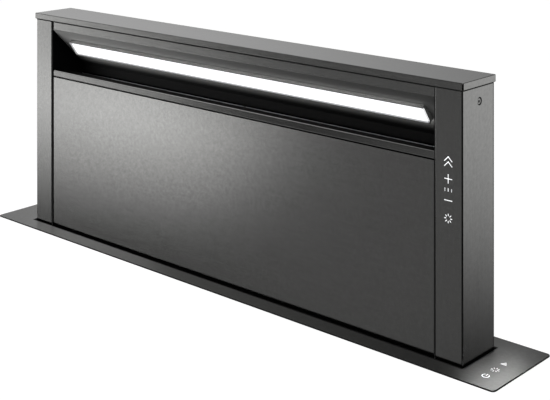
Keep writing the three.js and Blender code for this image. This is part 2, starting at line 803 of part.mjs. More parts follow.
// Front and back sheets fold inwards under the plate and are stiffened by beads; the front
// one has the air opening.
function buildCasing() {
  const low = -casingHeight + footSheet;
  for (const [name, side] of [['front', -1], ['back', 1]]) {
    const beads = Array.from({ length: beadCount }, (_, i) => {
      const high = -beadFirst - i * beadPitch + beadWidth / 2;
      return [
        [side * casingFace, high],
        [side * (casingFace + beadDepth), high - beadDepth],
        [side * (casingFace + beadDepth), high - beadWidth + beadDepth],
        [side * casingFace, high - beadWidth],
      ];
    });
    const path = [
      [side * (casingFace - casingFlange), -seat],
      [side * casingFace, -seat, casingSheet + bendInside],
      ...beads.flat(),
      [side * casingFace, low],
    ];
    const sheet = extrude(folded(path, -side * casingSheet), 'x', -casingSide, casingSide);
    const air = block(-airWidth / 2, airWidth / 2, side * casingFace - 2 * casingSheet,
      side * casingFace + 2 * casingSheet, airLevel - airHeight / 2, airLevel + airHeight / 2);
    piece(casing, `casing_${name}`, shaped([sheet], side < 0 ? [air] : []), zincSheet());
  }
  for (const [name, side] of sides) {
    const half = casingInnerFace - seat;
    const path = [
      [side * (casingSide - casingFlange), -half],
      [side * casingSide, -half, casingSheet + bendInside],
      [side * casingSide, half, casingSheet + bendInside],
      [side * (casingSide - casingFlange), half],
    ];
    const top = -casingSheet - 2 * seat;
    piece(casing, `casing_end_${name}`, extrude(folded(path, side * casingSheet), 'z', low, top),
      zincSheet());
  }
  const trayHalf = casingInnerFace - casingSheet - 2 * seat;
  const tray = [
    [-trayHalf, low + casingFlange],
    [-trayHalf, low, casingSheet + bendInside],
    [trayHalf, low, casingSheet + bendInside],
    [trayHalf, low + casingFlange],
  ];
  piece(casing, 'casing_bottom', extrude(folded(tray, casingSheet), 'x',
    -casingInnerSide + seat, casingInnerSide - seat), zincSheet());
}

function buildGuides() {
  const halfEye = rodRadius + bracketWall;
  const levels = [['top', -rodHead - bracketThickness], ['bottom', rodLow]];
  for (const [name, side] of sides) {
    const rodTop = -rodHead;
    piece(casing, `guide_rod_${name}`, rod(rodRadius, 'z', rodLow, rodTop, side * rodX,
      -rodForward), brightSteel());
    for (const [level, low] of levels) {
      const outline = rounded([
        [side * (casingInnerSide - seat), -rodForward - halfEye],
        [side * (casingInnerSide - seat), -rodForward + halfEye],
        [side * (rodX - halfEye), -rodForward + halfEye, bracketCorner],
        [side * (rodX - halfEye), -rodForward - halfEye, bracketCorner],
      ]);
      const hole = circle(rodRadius + running, 16, side * rodX, -rodForward);
      piece(casing, `rod_bracket_${level}_${name}`,
        extrude(outline, 'z', low, low + bracketThickness, [hole]), aluminium());
    }
  }
}

// Brackets that pull the casing up against the underside of the worktop, and feet.
function buildFixings() {
  for (const [face, facing] of [['front', -1], ['back', 1]]) {
    for (const [name, side] of sides) {
      const near = facing * (casingFace + seat);
      const path = [
        [near, -worktopGrip - clampHeight],
        [near, -worktopGrip, clampSheet + bendInside],
        [near + facing * clampReach, -worktopGrip],
      ];
      const x = side * clampSpread;
      const angle = extrude(folded(path, facing * -clampSheet), 'x', x - clampWidth / 2,
        x + clampWidth / 2);
      const hole = rod(clampHoleRadius, 'z', -worktopGrip - 2 * clampSheet,
        -worktopGrip + clampSheet, x, near + facing * clampHoleReach);
      piece(casing, `worktop_clamp_${face}_${name}`, shaped([angle], [hole]), zincSheet());
    }
  }
  for (const [name, side] of sides) {
    const near = side * (casingSide + seat);
    const path = [
      [near, -casingHeight + footHeight],
      [near, -casingHeight, footSheet + bendInside],
      [near + side * footReach, -casingHeight],
    ];
    piece(casing, `floor_bracket_${name}`, extrude(folded(path, side * footSheet), 'y',
      -footWidth / 2, footWidth / 2), zincSheet());
  }
}

buildPlate();
buildCasing();
for (const [name, side] of sides) buildRack(`rack_${name}`, side);
buildGuides();
buildFixings();

// ---------------------------------------------------------------- blower

const blowerTop = blowerFloor + blowerHeight;
const blowerFront = blowerBack - blowerDepth;
const outletHigh = scrollEnd;
const tongue = THREE.MathUtils.degToRad(tongueAngle);
const outletLow = scrollStart * Math.sin(tongue);
const outletMid = (outletHigh + outletLow) / 2;

function buildBlowerBox() {
  const halfX = blowerWidth / 2;
  const middle = (blowerFloor + blowerTop) / 2;
  const halfZ = blowerHeight / 2;
  const inner = rectangle(halfX - casingSheet, halfZ - casingSheet, 0, middle);
  const walls = extrude(rectangle(halfX, halfZ, 0, middle), 'y', blowerFront, blowerBack, [inner]);
  const back = extrude(rectangle(halfX, halfZ, 0, middle), 'y', blowerBack - casingSheet,
    blowerBack);
  const air = extrude(rectangle(airWidth / 2, airHeight / 2, 0, airLevel), 'y',
    blowerBack - 2 * casingSheet, blowerBack + casingSheet);
  const mouthHalf = scrollHalf + scrollWall + seat;
  const mouth = block(-halfX - casingSheet, -halfX + 2 * casingSheet, blowerMid - mouthHalf,
    blowerMid + mouthHalf, wheelLevel + outletLow - scrollWall - seat,
    wheelLevel + outletHigh + scrollWall + seat);
  piece(casing, 'blower_box', shaped([walls, back], [mouth, air]), zincSheet());

  const lidX = halfX + seat + casingSheet;
  const lidZ = halfZ + seat + casingSheet;
  const lidFace = blowerFront - seat - casingSheet;
  const face = extrude(rectangle(lidX, lidZ, 0, middle), 'y', lidFace, lidFace + casingSheet);
  const rim = extrude(rectangle(lidX, lidZ, 0, middle), 'y', lidFace, lidFace + lidFlange,
    [rectangle(halfX + seat, halfZ + seat, 0, middle)]);
  piece(casing, 'blower_cover', shaped([face, rim]), zincSheet());
}

// Everything round the fan's axis is built about that axis.
const fan = new THREE.Group();
fan.position.set(wheelShift, blowerMid, wheelLevel);
vent.add(fan);

// The scroll winds out from the tongue to the outlet, then runs straight to the side wall.
function scrollPath() {
  const outletEnd = -blowerWidth / 2 - wheelShift;
  const steps = 24;
  const sweep = 2.5 * Math.PI - tongue;
  const path = [[outletEnd, outletLow]];
  for (let step = 0; step <= steps; step += 1) {
    const share = step / steps;
    const radius = scrollStart + (scrollEnd - scrollStart) * share;
    const angle = tongue + sweep * share;
    path.push([radius * Math.cos(angle), radius * Math.sin(angle)]);
  }
  path.push([outletEnd, outletHigh]);
  return path;
}

function buildVolute() {
  const wall = folded(scrollPath(), -scrollWall);
  const outer = wall.slice(wall.length / 2);
  const footHalf = voluteFootWidth / 2;
  const bottom = Math.min(...outer.map(([, z]) => z));
  const floor = blowerFloor + casingSheet + seat - wheelLevel;
  for (const [name, facing] of [['front', -1], ['back', 1]]) {
    const rim = extrude(wall, 'y', ...span(facing, seat / 2, scrollHalf + scrollWall));
    const cheek = extrude(outer, 'y', ...span(facing, scrollHalf, scrollHalf + scrollWall),
      [circle(inletRadius, 32)]);
    const [y0, y1] = span(facing, scrollHalf / 2, scrollHalf + scrollWall);
    const foot = block(-footHalf, footHalf, y0, y1, floor, bottom + scrollWall);
    piece(fan, `volute_${name}`, shaped([rim, cheek, foot]), zincSheet());
  }
}

// Forward-curved blades run through a middle disc and are tied by a ring at each end.
function buildWheel() {
  const turn = THREE.MathUtils.degToRad(bladeTurn);
  const inner = wheelRadius - bladeDepth;
  const blades = Array.from({ length: bladeCount }, (_, i) => {
    const start = 2 * Math.PI * i / bladeCount;
    const lean = bladeDepth * Math.tan(turn / 2) / wheelRadius;
    const path = Array.from({ length: 3 }, (_, k) => {
      const share = k / 2;
      const radius = inner + (bladeDepth - bladeInset) * share;
      const angle = start + lean * share * share;
      return [radius * Math.cos(angle), radius * Math.sin(angle)];
    });
    const reach = wheelHalf - wheelRingDepth / 2;
    return extrude(folded(path, bladeThickness), 'y', -reach, reach);
  });
  const rings = [-1, 1].map((end) => {
    const ring = circle(wheelRadius, 36);
    return extrude(ring, 'y', ...span(end, wheelHalf, wheelHalf - wheelRingDepth),
      [circle(wheelRadius - wheelRing, 36)]);
  });
  const disc = rod(inner + discLap, 'y', -wheelDisc / 2, wheelDisc / 2, 0, 0, 36);
  const hub = rod(wheelHubRadius, 'y', -wheelDisc, wheelHubLength);
  const shaft = rod(wheelShaftRadius, 'y', -wheelShaftInside, wheelHubLength + wheelShaftPast);
  piece(fan, 'blower_wheel', shaped([...blades, ...rings, disc, hub, shaft]), blackPlastic());
}

function buildFanMotor() {
  const near = -wheelDisc - fanMotorGap;
  const far = near - fanMotorLength;
  const armBack = -scrollHalf - scrollWall - seat;
  const bore = wheelShaftRadius + running;
  const bottom = -wheelShaftInside - running;
  const section = [
    [0, far],
    [fanMotorRadius - fanMotorRound, far],
    [fanMotorRadius, far + fanMotorRound],
    [fanMotorRadius, near - fanMotorRound],
    [fanMotorNose, near],
    [bore, near],
    [bore, bottom],
    [0, bottom],
  ];
  const body = turned(section, 'y', 32);
  const collar = rod(fanMotorCollar, 'y', armBack - fanArmThickness, far + fanMotorRound);
  const arms = [90, 210, 330].map((degrees) => {
    const arm = block(fanMotorCollar / 2, inletRadius + fanArmWidth, armBack - fanArmThickness,
      armBack, -fanArmWidth / 2, fanArmWidth / 2);
    return arm.rotateY(THREE.MathUtils.degToRad(degrees));
  });
  piece(fan, 'blower_motor', shaped([body, collar, ...arms]), blackPlastic());
}

// Round outlet with two half-round backdraft flaps on one upright pin.
const outlet = new THREE.Group();
outlet.position.set(-blowerWidth / 2 - seat, blowerMid, wheelLevel + outletMid);
vent.add(outlet);

function buildOutlet() {
  const inner = collarRadius - collarWall;
  const half = collarRadius + collarFlange;
  const tube = extrude(circle(collarRadius, 40), 'x', -collarLength, 0, [circle(inner, 40)]);
  const flange = extrude(roundedRectangle(half, half, collarFlange), 'x', -2 * casingSheet, 0,
    [circle(inner, 40)]);
  const pinHole = rod(damperPinRadius + running, 'z', -half, half, -damperSetback, 0);
  piece(outlet, 'outlet_collar', shaped([tube, flange], [pinHole]), zincSheet());
  piece(outlet, 'damper_pin', rod(damperPinRadius, 'z', -collarRadius, collarRadius,
    -damperSetback, 0), brightSteel());

  const reach = inner - flapPlay;
  for (const [name, facing] of [['front', -1], ['back', 1]]) {
    const near = facing * (damperPinRadius + running);
    const arc = circle(reach, 40).filter(([y]) => y * facing > knuckleRadius * 1.2);
    arc.sort((a, b) => a[1] - b[1]);
    const ends = [-1, 1].map((end) => [near, end * Math.sqrt(reach ** 2 - knuckleRadius ** 2)]);
    const blade = extrude([ends[0], ...arc, ends[1]], 'x', -damperSetback - flapThickness / 2,
      -damperSetback + flapThickness / 2);
    const barrels = knuckleSpans[name].map(([from, to]) => rod(knuckleRadius, 'z', from * reach,
      to * reach, -damperSetback));
    const gaps = knuckleSpans[name === 'front' ? 'back' : 'front'].map(([from, to]) =>
      block(-damperSetback - knuckleRadius, -damperSetback + knuckleRadius, -knuckleRadius - seat,
        knuckleRadius + seat, from * reach - knuckleGap, to * reach + knuckleGap));
    const bore = rod(damperPinRadius + running, 'z', -reach, reach, -damperSetback, 0);
    piece(outlet, `flap_${name}`, shaped([blade, ...barrels], [...gaps, bore]), aluminium());
  }
}

// Control box beside the blower, with the gland for the mains lead underneath.
function buildControls() {
  const x = blowerWidth / 2 + controlGap + controlWidth / 2;
  const middle = -controlLow + controlHeight / 2;
  const back = -casingFace - seat;
  const halfX = controlWidth / 2;
  const halfZ = controlHeight / 2;
  const body = extrude(roundedRectangle(halfX, halfZ, controlCorner, x, middle), 'y',
    back - controlDepth, back);
  const lidLine = back - controlDepth + controlLid;
  const core = roundedRectangle(halfX - controlGroove, halfZ - controlGroove,
    controlCorner - controlGroove, x, middle);
  const groove = extrude(rectangle(controlWidth, controlHeight, x, middle), 'y', lidLine,
    lidLine + controlGroove, [core]);
  piece(casing, 'control_box', shaped([body], [groove]), blackPlastic());

  const nutEnd = -glandBodyLength - glandNutLength;
  const section = [
    [glandBore, 0],
    [glandBodyRadius, 0],
    [glandBodyRadius, -glandBodyLength],
    [glandNutRadius, -glandBodyLength],
    [glandNutRadius, nutEnd],
    [glandTipRadius, nutEnd - glandTipLength],
    [glandBore, nutEnd - glandTipLength],
  ];
  const gland = piece(casing, 'cable_gland', turned(section, 'z'), blackPlastic());
  gland.position.set(x, back - controlDepth / 2, -controlLow - seat);
}

buildBlowerBox();
buildVolute();
buildWheel();
buildFanMotor();
buildOutlet();
buildControls();

export default vent;
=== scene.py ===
# %% [markdown]
# # A rising downdraft vent, dressed for the studio
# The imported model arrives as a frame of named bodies: a casing that stays under the
# worktop, a tower that rises out of it, and the shaft, wheel and flaps inside. This lesson
# gives each piece the finish of the real one, adds the small things that are too fine for
# the CAD model, and lights it as a product photographer lights brushed black steel.

# %% The frame and the tools
import json
import math
import bmesh
import bpy
from mathutils import Matrix, Vector


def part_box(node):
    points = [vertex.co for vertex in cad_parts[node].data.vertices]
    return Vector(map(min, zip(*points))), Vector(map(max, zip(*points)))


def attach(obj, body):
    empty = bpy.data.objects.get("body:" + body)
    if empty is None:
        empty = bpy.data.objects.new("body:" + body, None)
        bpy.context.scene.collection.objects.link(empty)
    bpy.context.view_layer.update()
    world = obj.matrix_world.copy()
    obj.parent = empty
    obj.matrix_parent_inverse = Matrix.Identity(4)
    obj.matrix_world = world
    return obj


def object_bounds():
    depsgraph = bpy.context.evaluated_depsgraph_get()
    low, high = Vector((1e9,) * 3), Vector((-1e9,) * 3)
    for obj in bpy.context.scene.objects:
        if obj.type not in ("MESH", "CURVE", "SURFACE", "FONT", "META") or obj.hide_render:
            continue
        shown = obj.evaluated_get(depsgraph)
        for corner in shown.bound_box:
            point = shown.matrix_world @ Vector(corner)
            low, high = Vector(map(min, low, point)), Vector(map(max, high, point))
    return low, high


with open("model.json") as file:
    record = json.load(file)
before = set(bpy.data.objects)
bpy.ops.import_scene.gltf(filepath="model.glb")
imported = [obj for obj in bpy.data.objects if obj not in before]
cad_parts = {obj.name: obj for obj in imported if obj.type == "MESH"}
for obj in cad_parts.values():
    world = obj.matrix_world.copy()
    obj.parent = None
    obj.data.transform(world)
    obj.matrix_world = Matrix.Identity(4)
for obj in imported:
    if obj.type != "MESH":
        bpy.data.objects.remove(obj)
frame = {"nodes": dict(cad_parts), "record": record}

bounds_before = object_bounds()
nodes = frame["nodes"]
scene = bpy.context.scene
scene.view_settings.view_transform = "Standard"   # no film curve, so white stays white
mm = 0.001

# %% [markdown]
# ## Three helpers
# Colours are easiest to choose as the hex values that a paint program shows, but a shader
# works in linear light, so one function turns the one into the other. A second function
# adds a node to a tree with its settings and links, which keeps each material short. The
# third makes an object from a bmesh and gives it a material and the body it rides on.

# %% Colour, node and piece helpers
def linear(hex_colour):
    channels = [int(hex_colour[i:i + 2], 16) / 255 for i in (1, 3, 5)]
    return [c / 12.92 if c <= 0.04045 else ((c + 0.055) / 1.055) ** 2.4 for c in channels] + [1.0]


def add_node(tree, kind, inputs=None, **settings):
    node = tree.nodes.new(kind)
    for name, value in settings.items():
        setattr(node, name, value)
    for name, value in (inputs or {}).items():
        if isinstance(value, bpy.types.NodeSocket):
            tree.links.new(value, node.inputs[name])
        else:
            node.inputs[name].default_value = value
    return node


def add_piece(name, mesh_builder, material, body=None, slot=None):
    builder = bmesh.new()
    mesh_builder(builder)
    bmesh.ops.recalc_face_normals(builder, faces=builder.faces)
    mesh = bpy.data.meshes.new(name)
    builder.to_mesh(mesh)
    builder.free()
    piece = bpy.data.objects.new(name, mesh)
    scene.collection.objects.link(piece)
    mesh.materials.append(material)
    if body:
        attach(piece, body)
    return piece


print("white is", linear("#ffffff"))

# %% [markdown]
# ## The camera
# The photo has two-point perspective: every upright edge of the tower is upright in the
# picture, although the camera looks down on it. A photographer gets that with a view camera,
# whose film stands upright while the lens is dropped. A Blender camera can do the same
# without a large shift: its frame is leaned over, so that the film plane stays upright and
# the middle of the picture lies where the object is. The leaning is held by the parent's
# inverse matrix, because location and rotation alone can't lean a frame.

# %% Camera with an upright film plane
film_width_px, film_height_px = 550, 400
focal_px = 1221.9             # distance from the lens to the upright film
horizon_px = -173.55          # row of the horizon, counted down from the top edge
axis_px = 275.57              # column straight ahead of the lens
turn = math.radians(41.806)   # the camera stands to the right of the middle
lens_place = Vector((1.1284, -1.1765, 0.5993))

film_right = Vector((math.cos(turn), math.sin(turn), 0))
film_up = Vector((0, 0, 1))
towards_eye = Vector((math.sin(turn), -math.cos(turn), 0))
film_drop_px = film_height_px / 2 - horizon_px
film_side_px = axis_px - film_width_px / 2
film_back = towards_eye * focal_px + film_up * film_drop_px + film_right * film_side_px
lens_px = film_back.length

sensor_mm = 36
camera_data = bpy.data.cameras.new("view_camera")
camera_data.sensor_width = sensor_mm
camera_data.lens = sensor_mm * lens_px / film_width_px
camera_data.clip_start = 0.05
camera_data.clip_end = 100
camera = bpy.data.objects.new("view_camera", camera_data)
stand = bpy.data.objects.new("camera_stand", None)
for thing in (camera, stand):
    scene.collection.objects.link(thing)
leaning = Matrix.Identity(4)
for column, axis in enumerate((film_right, film_up, film_back.normalized(), lens_place)):
    for row in range(3):
        leaning[row][column] = axis[row]
camera.parent = stand
camera.matrix_parent_inverse = leaning
scene.camera = camera
print("lens", round(camera_data.lens, 2), "mm, film dropped", round(film_drop_px), "px")

# %% [markdown]
# ## The set: worktop, floor and backdrop
# The vent hangs in a cut-out of a worktop, so the set has a length of white worktop with
# that cut-out. A wide backdrop and a pale floor close the set. They glow softly by
# themselves, which is how a product photographer burns a background out to white, and they
# are hidden from reflections, so that the steel mirrors only the lights. Strong lamps on
# white paper would burn out as well, but would spill onto the steel. The worktop's edges
# glow less than its top, so that it reads as a slab from the other sides.

# %% White set surfaces
worktop_thickness = 38 * mm
worktop_low, worktop_high = (-0.60, -0.46), (0.60, 0.14)
cutout_half = (423 * mm, 53 * mm)
floor_level = bounds_before[0][2]
set_radius = 12.0


def set_material(name, glow, side_glow, body):
    material = bpy.data.materials.new(name)
    material.use_nodes = True
    tree = material.node_tree
    tree.nodes.clear()
    facing = add_node(tree, "ShaderNodeNewGeometry")
    upward = add_node(tree, "ShaderNodeSeparateXYZ", {0: facing.outputs["True Normal"]})
    upright, level = 0.2, 0.9     # a face's upward share below which it is a side, above a top
    strength = add_node(tree, "ShaderNodeMapRange", {
        "Value": upward.outputs[2], "From Min": upright, "From Max": level,
        "To Min": side_glow, "To Max": glow})
    light = add_node(tree, "ShaderNodeEmission", {"Color": linear("#ffffff"),
                                                  "Strength": strength.outputs[0]})
    matte = add_node(tree, "ShaderNodeBsdfDiffuse", {"Color": [body, body, body, 1]})
    both = add_node(tree, "ShaderNodeAddShader", {0: light.outputs[0], 1: matte.outputs[0]})
    add_node(tree, "ShaderNodeOutputMaterial", {"Surface": both.outputs[0]})
    return material


def build_worktop(builder):
    (left, front), (right, back) = worktop_low, worktop_high
    a, b = cutout_half
    outline = [(left, front), (right, front), (right, back), (left, back)]
    hole = [(-a, -b), (a, -b), (a, b), (-a, b)]
    loops = [[builder.verts.new((x, y, 0)) for x, y in path] for path in (outline, hole)]
    edges = [builder.edges.new((loop[i - 1], loop[i])) for loop in loops for i in range(len(loop))]
    filled = bmesh.ops.triangle_fill(builder, use_beauty=True, use_dissolve=False, edges=edges)
    faces = [f for f in filled["geom"] if isinstance(f, bmesh.types.BMFace)]
    down = bmesh.ops.extrude_face_region(builder, geom=faces)
    for vert in (g for g in down["geom"] if isinstance(g, bmesh.types.BMVert)):
        vert.co.z -= worktop_thickness


def build_floor(builder):
    bmesh.ops.create_circle(builder, cap_ends=True, segments=64, radius=set_radius,
                            matrix=Matrix.Translation((0, 0, floor_level)))


def build_backdrop(builder):
    bmesh.ops.create_uvsphere(builder, u_segments=48, v_segments=24, radius=set_radius)


worktop = add_piece("set_worktop", build_worktop, set_material(
    "white worktop", glow=0.98, side_glow=0.70, body=0.1))
floor = add_piece("set_floor", build_floor, set_material(
    "pale floor", glow=0.96, side_glow=0.96, body=0.1))
backdrop = add_piece("set_backdrop", build_backdrop, set_material(
    "white backdrop", glow=1.0, side_glow=1.0, body=0.0))
for thing in (worktop, floor, backdrop):
    thing.visible_glossy = False
    thing.visible_diffuse = False
    thing.visible_transmission = False
worktop.visible_shadow = False
backdrop.visible_shadow = False
print("floor at", round(floor_level, 3), "m")

# %% [markdown]
# ## What the steel sees
# Brushed steel has no colour of its own to speak of: it shows its surroundings, softened.
# So the light is designed as a sky of soft patches, placed by the compass and by height,
# where each face of the vent will mirror them. A patch is an ellipse over azimuth and
# elevation that fades over the outer part of its radius. Azimuth 0 is straight in front of
# the vent and grows to its right. The first patches lie low on the front left and give the
# front panel its glow, which fades towards the right and towards the worktop. A photographed
# room could stand here too, but a patch of one's own can be moved until a face has its glow.

# %% Sky of soft patches
def soft_patch(tree, place, azimuth, elevation, width, height, lean, fade, strength):
    local = add_node(tree, "ShaderNodeMapping", {
        "Vector": place, "Location": (azimuth, elevation, 0),
        "Rotation": (0, 0, math.radians(lean)), "Scale": (width, height, 1)}, vector_type="TEXTURE")
    away = add_node(tree, "ShaderNodeVectorMath", {0: local.outputs[0]}, operation="LENGTH")
    return add_node(tree, "ShaderNodeMapRange", {
        "Value": away.outputs["Value"], "From Min": 1.0, "From Max": 1.0 - fade,
        "To Max": strength}, interpolation_type="SMOOTHSTEP").outputs[0]


patches = [
    # azimuth, elevation, half width, half height, lean, fade, strength
    (-60.1, -9.0, 19.4, 3.6, -25, 0.1, 2.1),   # low front left: glow on the front panel
    (-47.4, -13.1, 8.0, 2.0, -13, 0.7, 4.8),   # its bright tip towards the right
    (-54.7, -5.2, 11.9, 3.2, -10, 0.3, 2.5),   # above it, mirrored by cap and sill
    (-83.4, -8.8, 35.2, 6.5, -2.5, 0.2, 1.4),  # wide and dim, further to the left
    (-30.6, -15.5, 19.7, 10, 20, 0.3, 0.43),   # dim, mirrored low on the right column
    (-58, 26, 30, 22, 0, 1.0, 4.0),            # key light above them
    (-118, 15, 50, 14, 0, 0.8, 0.97),          # back left, mirrored by cap and plate
    (150, -7, 34, 18, 0, 0.7, 1.8),            # back right, mirrored by the right column
    (60, 20, 80, 24, 0, 0.5, 1.75),            # front right, above what the corner mirrors
]
sky_low = (-4, 0.01)       # elevation in degrees and brightness near the horizon
sky_high = (20, 0.18)
bounce_high = (-25, 0.0)   # light thrown back by the floor, seen only from above
bounce_low = (-33, 0.55)

world = bpy.data.worlds.new("studio sky")
scene.world = world
world.use_nodes = True
sky = world.node_tree
sky.nodes.clear()
ray = add_node(sky, "ShaderNodeTexCoord")
split = add_node(sky, "ShaderNodeSeparateXYZ", {0: ray.outputs["Generated"]})
ahead = add_node(sky, "ShaderNodeMath", {0: split.outputs[1], 1: -1.0}, operation="MULTIPLY")
azimuth = add_node(sky, "ShaderNodeMath", {0: split.outputs[0], 1: ahead.outputs[0]},
                   operation="ARCTAN2")
elevation = add_node(sky, "ShaderNodeMath", {0: split.outputs[2]}, operation="ARCSINE")
angles = add_node(sky, "ShaderNodeCombineXYZ", {0: azimuth.outputs[0], 1: elevation.outputs[0]})
degrees = add_node(sky, "ShaderNodeVectorMath", {0: angles.outputs[0], "Scale": 180 / math.pi},
                   operation="SCALE")
height = add_node(sky, "ShaderNodeSeparateXYZ", {0: degrees.outputs[0]})
glow = None
for (start, start_glow), (stop, stop_glow) in ((sky_low, sky_high), (bounce_high, bounce_low)):
    band = add_node(sky, "ShaderNodeMapRange", {
        "Value": height.outputs[1], "From Min": start, "From Max": stop,
        "To Min": start_glow, "To Max": stop_glow}, interpolation_type="SMOOTHSTEP").outputs[0]
    glow = band if glow is None else add_node(sky, "ShaderNodeMath", {0: glow, 1: band},
                                              operation="ADD").outputs[0]
for patch in patches:
    spot = soft_patch(sky, degrees.outputs[0], *patch)
    glow = add_node(sky, "ShaderNodeMath", {0: glow, 1: spot}, operation="ADD").outputs[0]
shine = add_node(sky, "ShaderNodeBackground", {"Color": linear("#ffffff"), "Strength": glow})
add_node(sky, "ShaderNodeOutputWorld", {"Surface": shine.outputs[0]})
print("patches:", len(patches))

# %% [markdown]
# ## Lamps
# A lamp close to the object gives what a far sky can't: a glow that changes within a few
# centimetres. Two hang behind the tower, low over the worktop: one makes the bright patch on
# the plate's right end, and a weak one lifts the left end. They shine past the tower, which
# isn't among the pieces that shade them. Cycles can reach a lamp by aiming at it or by a
# mirror ray that happens to hit it. The mirror rays would stop at the tower, so for these
# two lamps only the aimed rays are used.
#
# The lit lens stands a little proud, so three lamps stand for the light its edges throw on
# the slope and on the channel around it, and one for its right end. One more brings the
# room's light in from the front left, and the left column shades the end of the slope from
# it. Light linking keeps each lamp to the pieces it is meant for. Real light from the lens
# alone would need far more samples to come out clean. A wide lamp overhead lights the set
# and the lower casing.

# %% Soft lamps
def soft_lamp(name, place, target, size, radiance, only=None, through=False, shade=()):
    data = bpy.data.lights.new(name, "AREA")
    data.shape = "RECTANGLE"
    data.size, data.size_y = size
    data.energy = radiance * math.pi * size[0] * size[1]
    lamp = bpy.data.objects.new(name, data)
    scene.collection.objects.link(lamp)
    lamp.location = place
    aim = Vector(target) - Vector(place)
    lamp.rotation_euler = aim.to_track_quat("-Z", "Y").to_euler()
    lamp.visible_camera = False
    data.cycles.use_multiple_importance_sampling = not through
    if only:
        lit = bpy.data.collections.new(name + "_lights")
        for thing in only:
            lit.objects.link(thing)
        lamp.light_linking.receiver_collection = lit
        shading = bpy.data.collections.new(name + "_shadows")
        for thing in (*only, *shade):
            shading.objects.link(thing)
        lamp.light_linking.blocker_collection = shading
    return lamp


lens_low, lens_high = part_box("light_lens")
lens_length = lens_high.x - lens_low.x
slope, channel, plate = (nodes[n] for n in ("light_deflector", "light_channel", "worktop_plate"))
soft_lamp("lamp_behind", (0.372, 0.060, 0.074), (0.460, 0.025, 0.002),
          size=(0.078, 0.038), radiance=4.0, only=[plate], through=True)
soft_lamp("lamp_behind_left", (-0.456, 0.147, 0.102), (-0.225, -0.045, 0.002),
          size=(0.20, 0.06), radiance=0.62, only=[plate], through=True)
soft_lamp("lamp_over_lens", (0, lens_low.y, lens_high.z),
          (0, lens_low.y + 5 * mm, lens_high.z + 5 * mm),
          size=(lens_length, 4 * mm), radiance=3.2, only=[slope])
soft_lamp("lamp_under_lens", (0, lens_high.y + 2 * mm, lens_low.z - 0.5 * mm),
          (0, lens_high.y + 8 * mm, lens_low.z - 9 * mm),
          size=(lens_length, 8 * mm), radiance=20, only=[slope])
soft_lamp("lamp_channel", (0, lens_low.y - 5 * mm, lens_high.z + 8 * mm),
          (0, lens_low.y + 2 * mm, lens_high.z + 2 * mm),
          size=(lens_length, 4 * mm), radiance=13, only=[channel])
soft_lamp("lamp_channel_end", (lens_high.x + 18 * mm, lens_low.y + 6 * mm, lens_low.z + 9 * mm),
          (lens_high.x, lens_low.y + 8 * mm, lens_low.z + 12 * mm),
          size=(20 * mm, 20 * mm), radiance=2.5, only=[channel, slope])
soft_lamp("lamp_front_left", (-0.46, -0.21, 0), (-0.3, 0, 0.27),
          size=(0.2, 0.2), radiance=22, only=[slope, channel], shade=[nodes["column_left"]])
overhead = soft_lamp("lamp_overhead", (-0.6, -0.8, 2.6), (0, 0, 0),
                     size=(2.0, 1.6), radiance=3.0)
overhead.visible_glossy = False     # the steel mirrors the sky, not this lamp

# %% [markdown]
# ## The finishes
# Every finish starts from the shader's metal or plastic, a real colour, and a grain whose
# scale comes from the real surface. A flat colour would look like paint on a screen, and a
# picture of steel would repeat, so noise draws the grain. One function opens a material with
# its constants. A second lays a pattern over it, as a change of tone, gloss and height.

# %% Opening a finish and laying a pattern on it
def new_finish(name, colour, metallic, roughness):
    material = bpy.data.materials.new(name)
    material.use_nodes = True
    tree = material.node_tree
    shader = tree.nodes["Principled BSDF"]
    shader.inputs["Base Color"].default_value = linear(colour)
    shader.inputs["Metallic"].default_value = metallic
    shader.inputs["Roughness"].default_value = roughness
    place = add_node(tree, "ShaderNodeTexCoord").outputs["Object"]
    return material, tree, shader, place


noise_low, noise_high = 0.25, 0.75     # nearly all values of a noise lie between these


def lay_pattern(tree, shader, tone, gloss, relief, hues, roughness, depth_mm):
    level = add_node(tree, "ShaderNodeMapRange", {
        "Value": tone, "From Min": noise_low, "From Max": noise_high})
    hue = add_node(tree, "ShaderNodeMix", {
        0: level.outputs[0], 6: linear(hues[0]), 7: linear(hues[1])}, data_type="RGBA")
    rough = add_node(tree, "ShaderNodeMapRange", {
        "Value": gloss, "From Min": noise_low, "From Max": noise_high,
        "To Min": roughness[0], "To Max": roughness[1]})
    height = add_node(tree, "ShaderNodeBump", {"Height": relief, "Distance": depth_mm * mm})
    tree.links.new(hue.outputs[2], shader.inputs["Base Color"])
    tree.links.new(rough.outputs[0], shader.inputs["Roughness"])
    tree.links.new(height.outputs[0], shader.inputs["Normal"])


print("noise spread from", noise_low, "to", noise_high)

# %% [markdown]
# ### Black steel
# The tower is stainless steel, fine-brushed and then coloured anthracite. The brush leaves
# hair lines 0.1 to 0.2 mm apart. They are too fine to show at this size, so they are drawn
# about 0.6 mm apart and 40 mm long. A mottle some 4 mm across is where the colour took a
# little deeper. The plate's brushing is duller than the tower's, so its glow spreads wider.
# The strip under the intake leans back by a few degrees, so it mirrors a darker part of the
# room. Here only its shading leans, because the strip's mesh stays as it comes.

# %% Brushed black steel
x_axis, y_axis, z_axis = range(3)
line_mm, length_mm, mottle_mm = 0.6, 40, 4


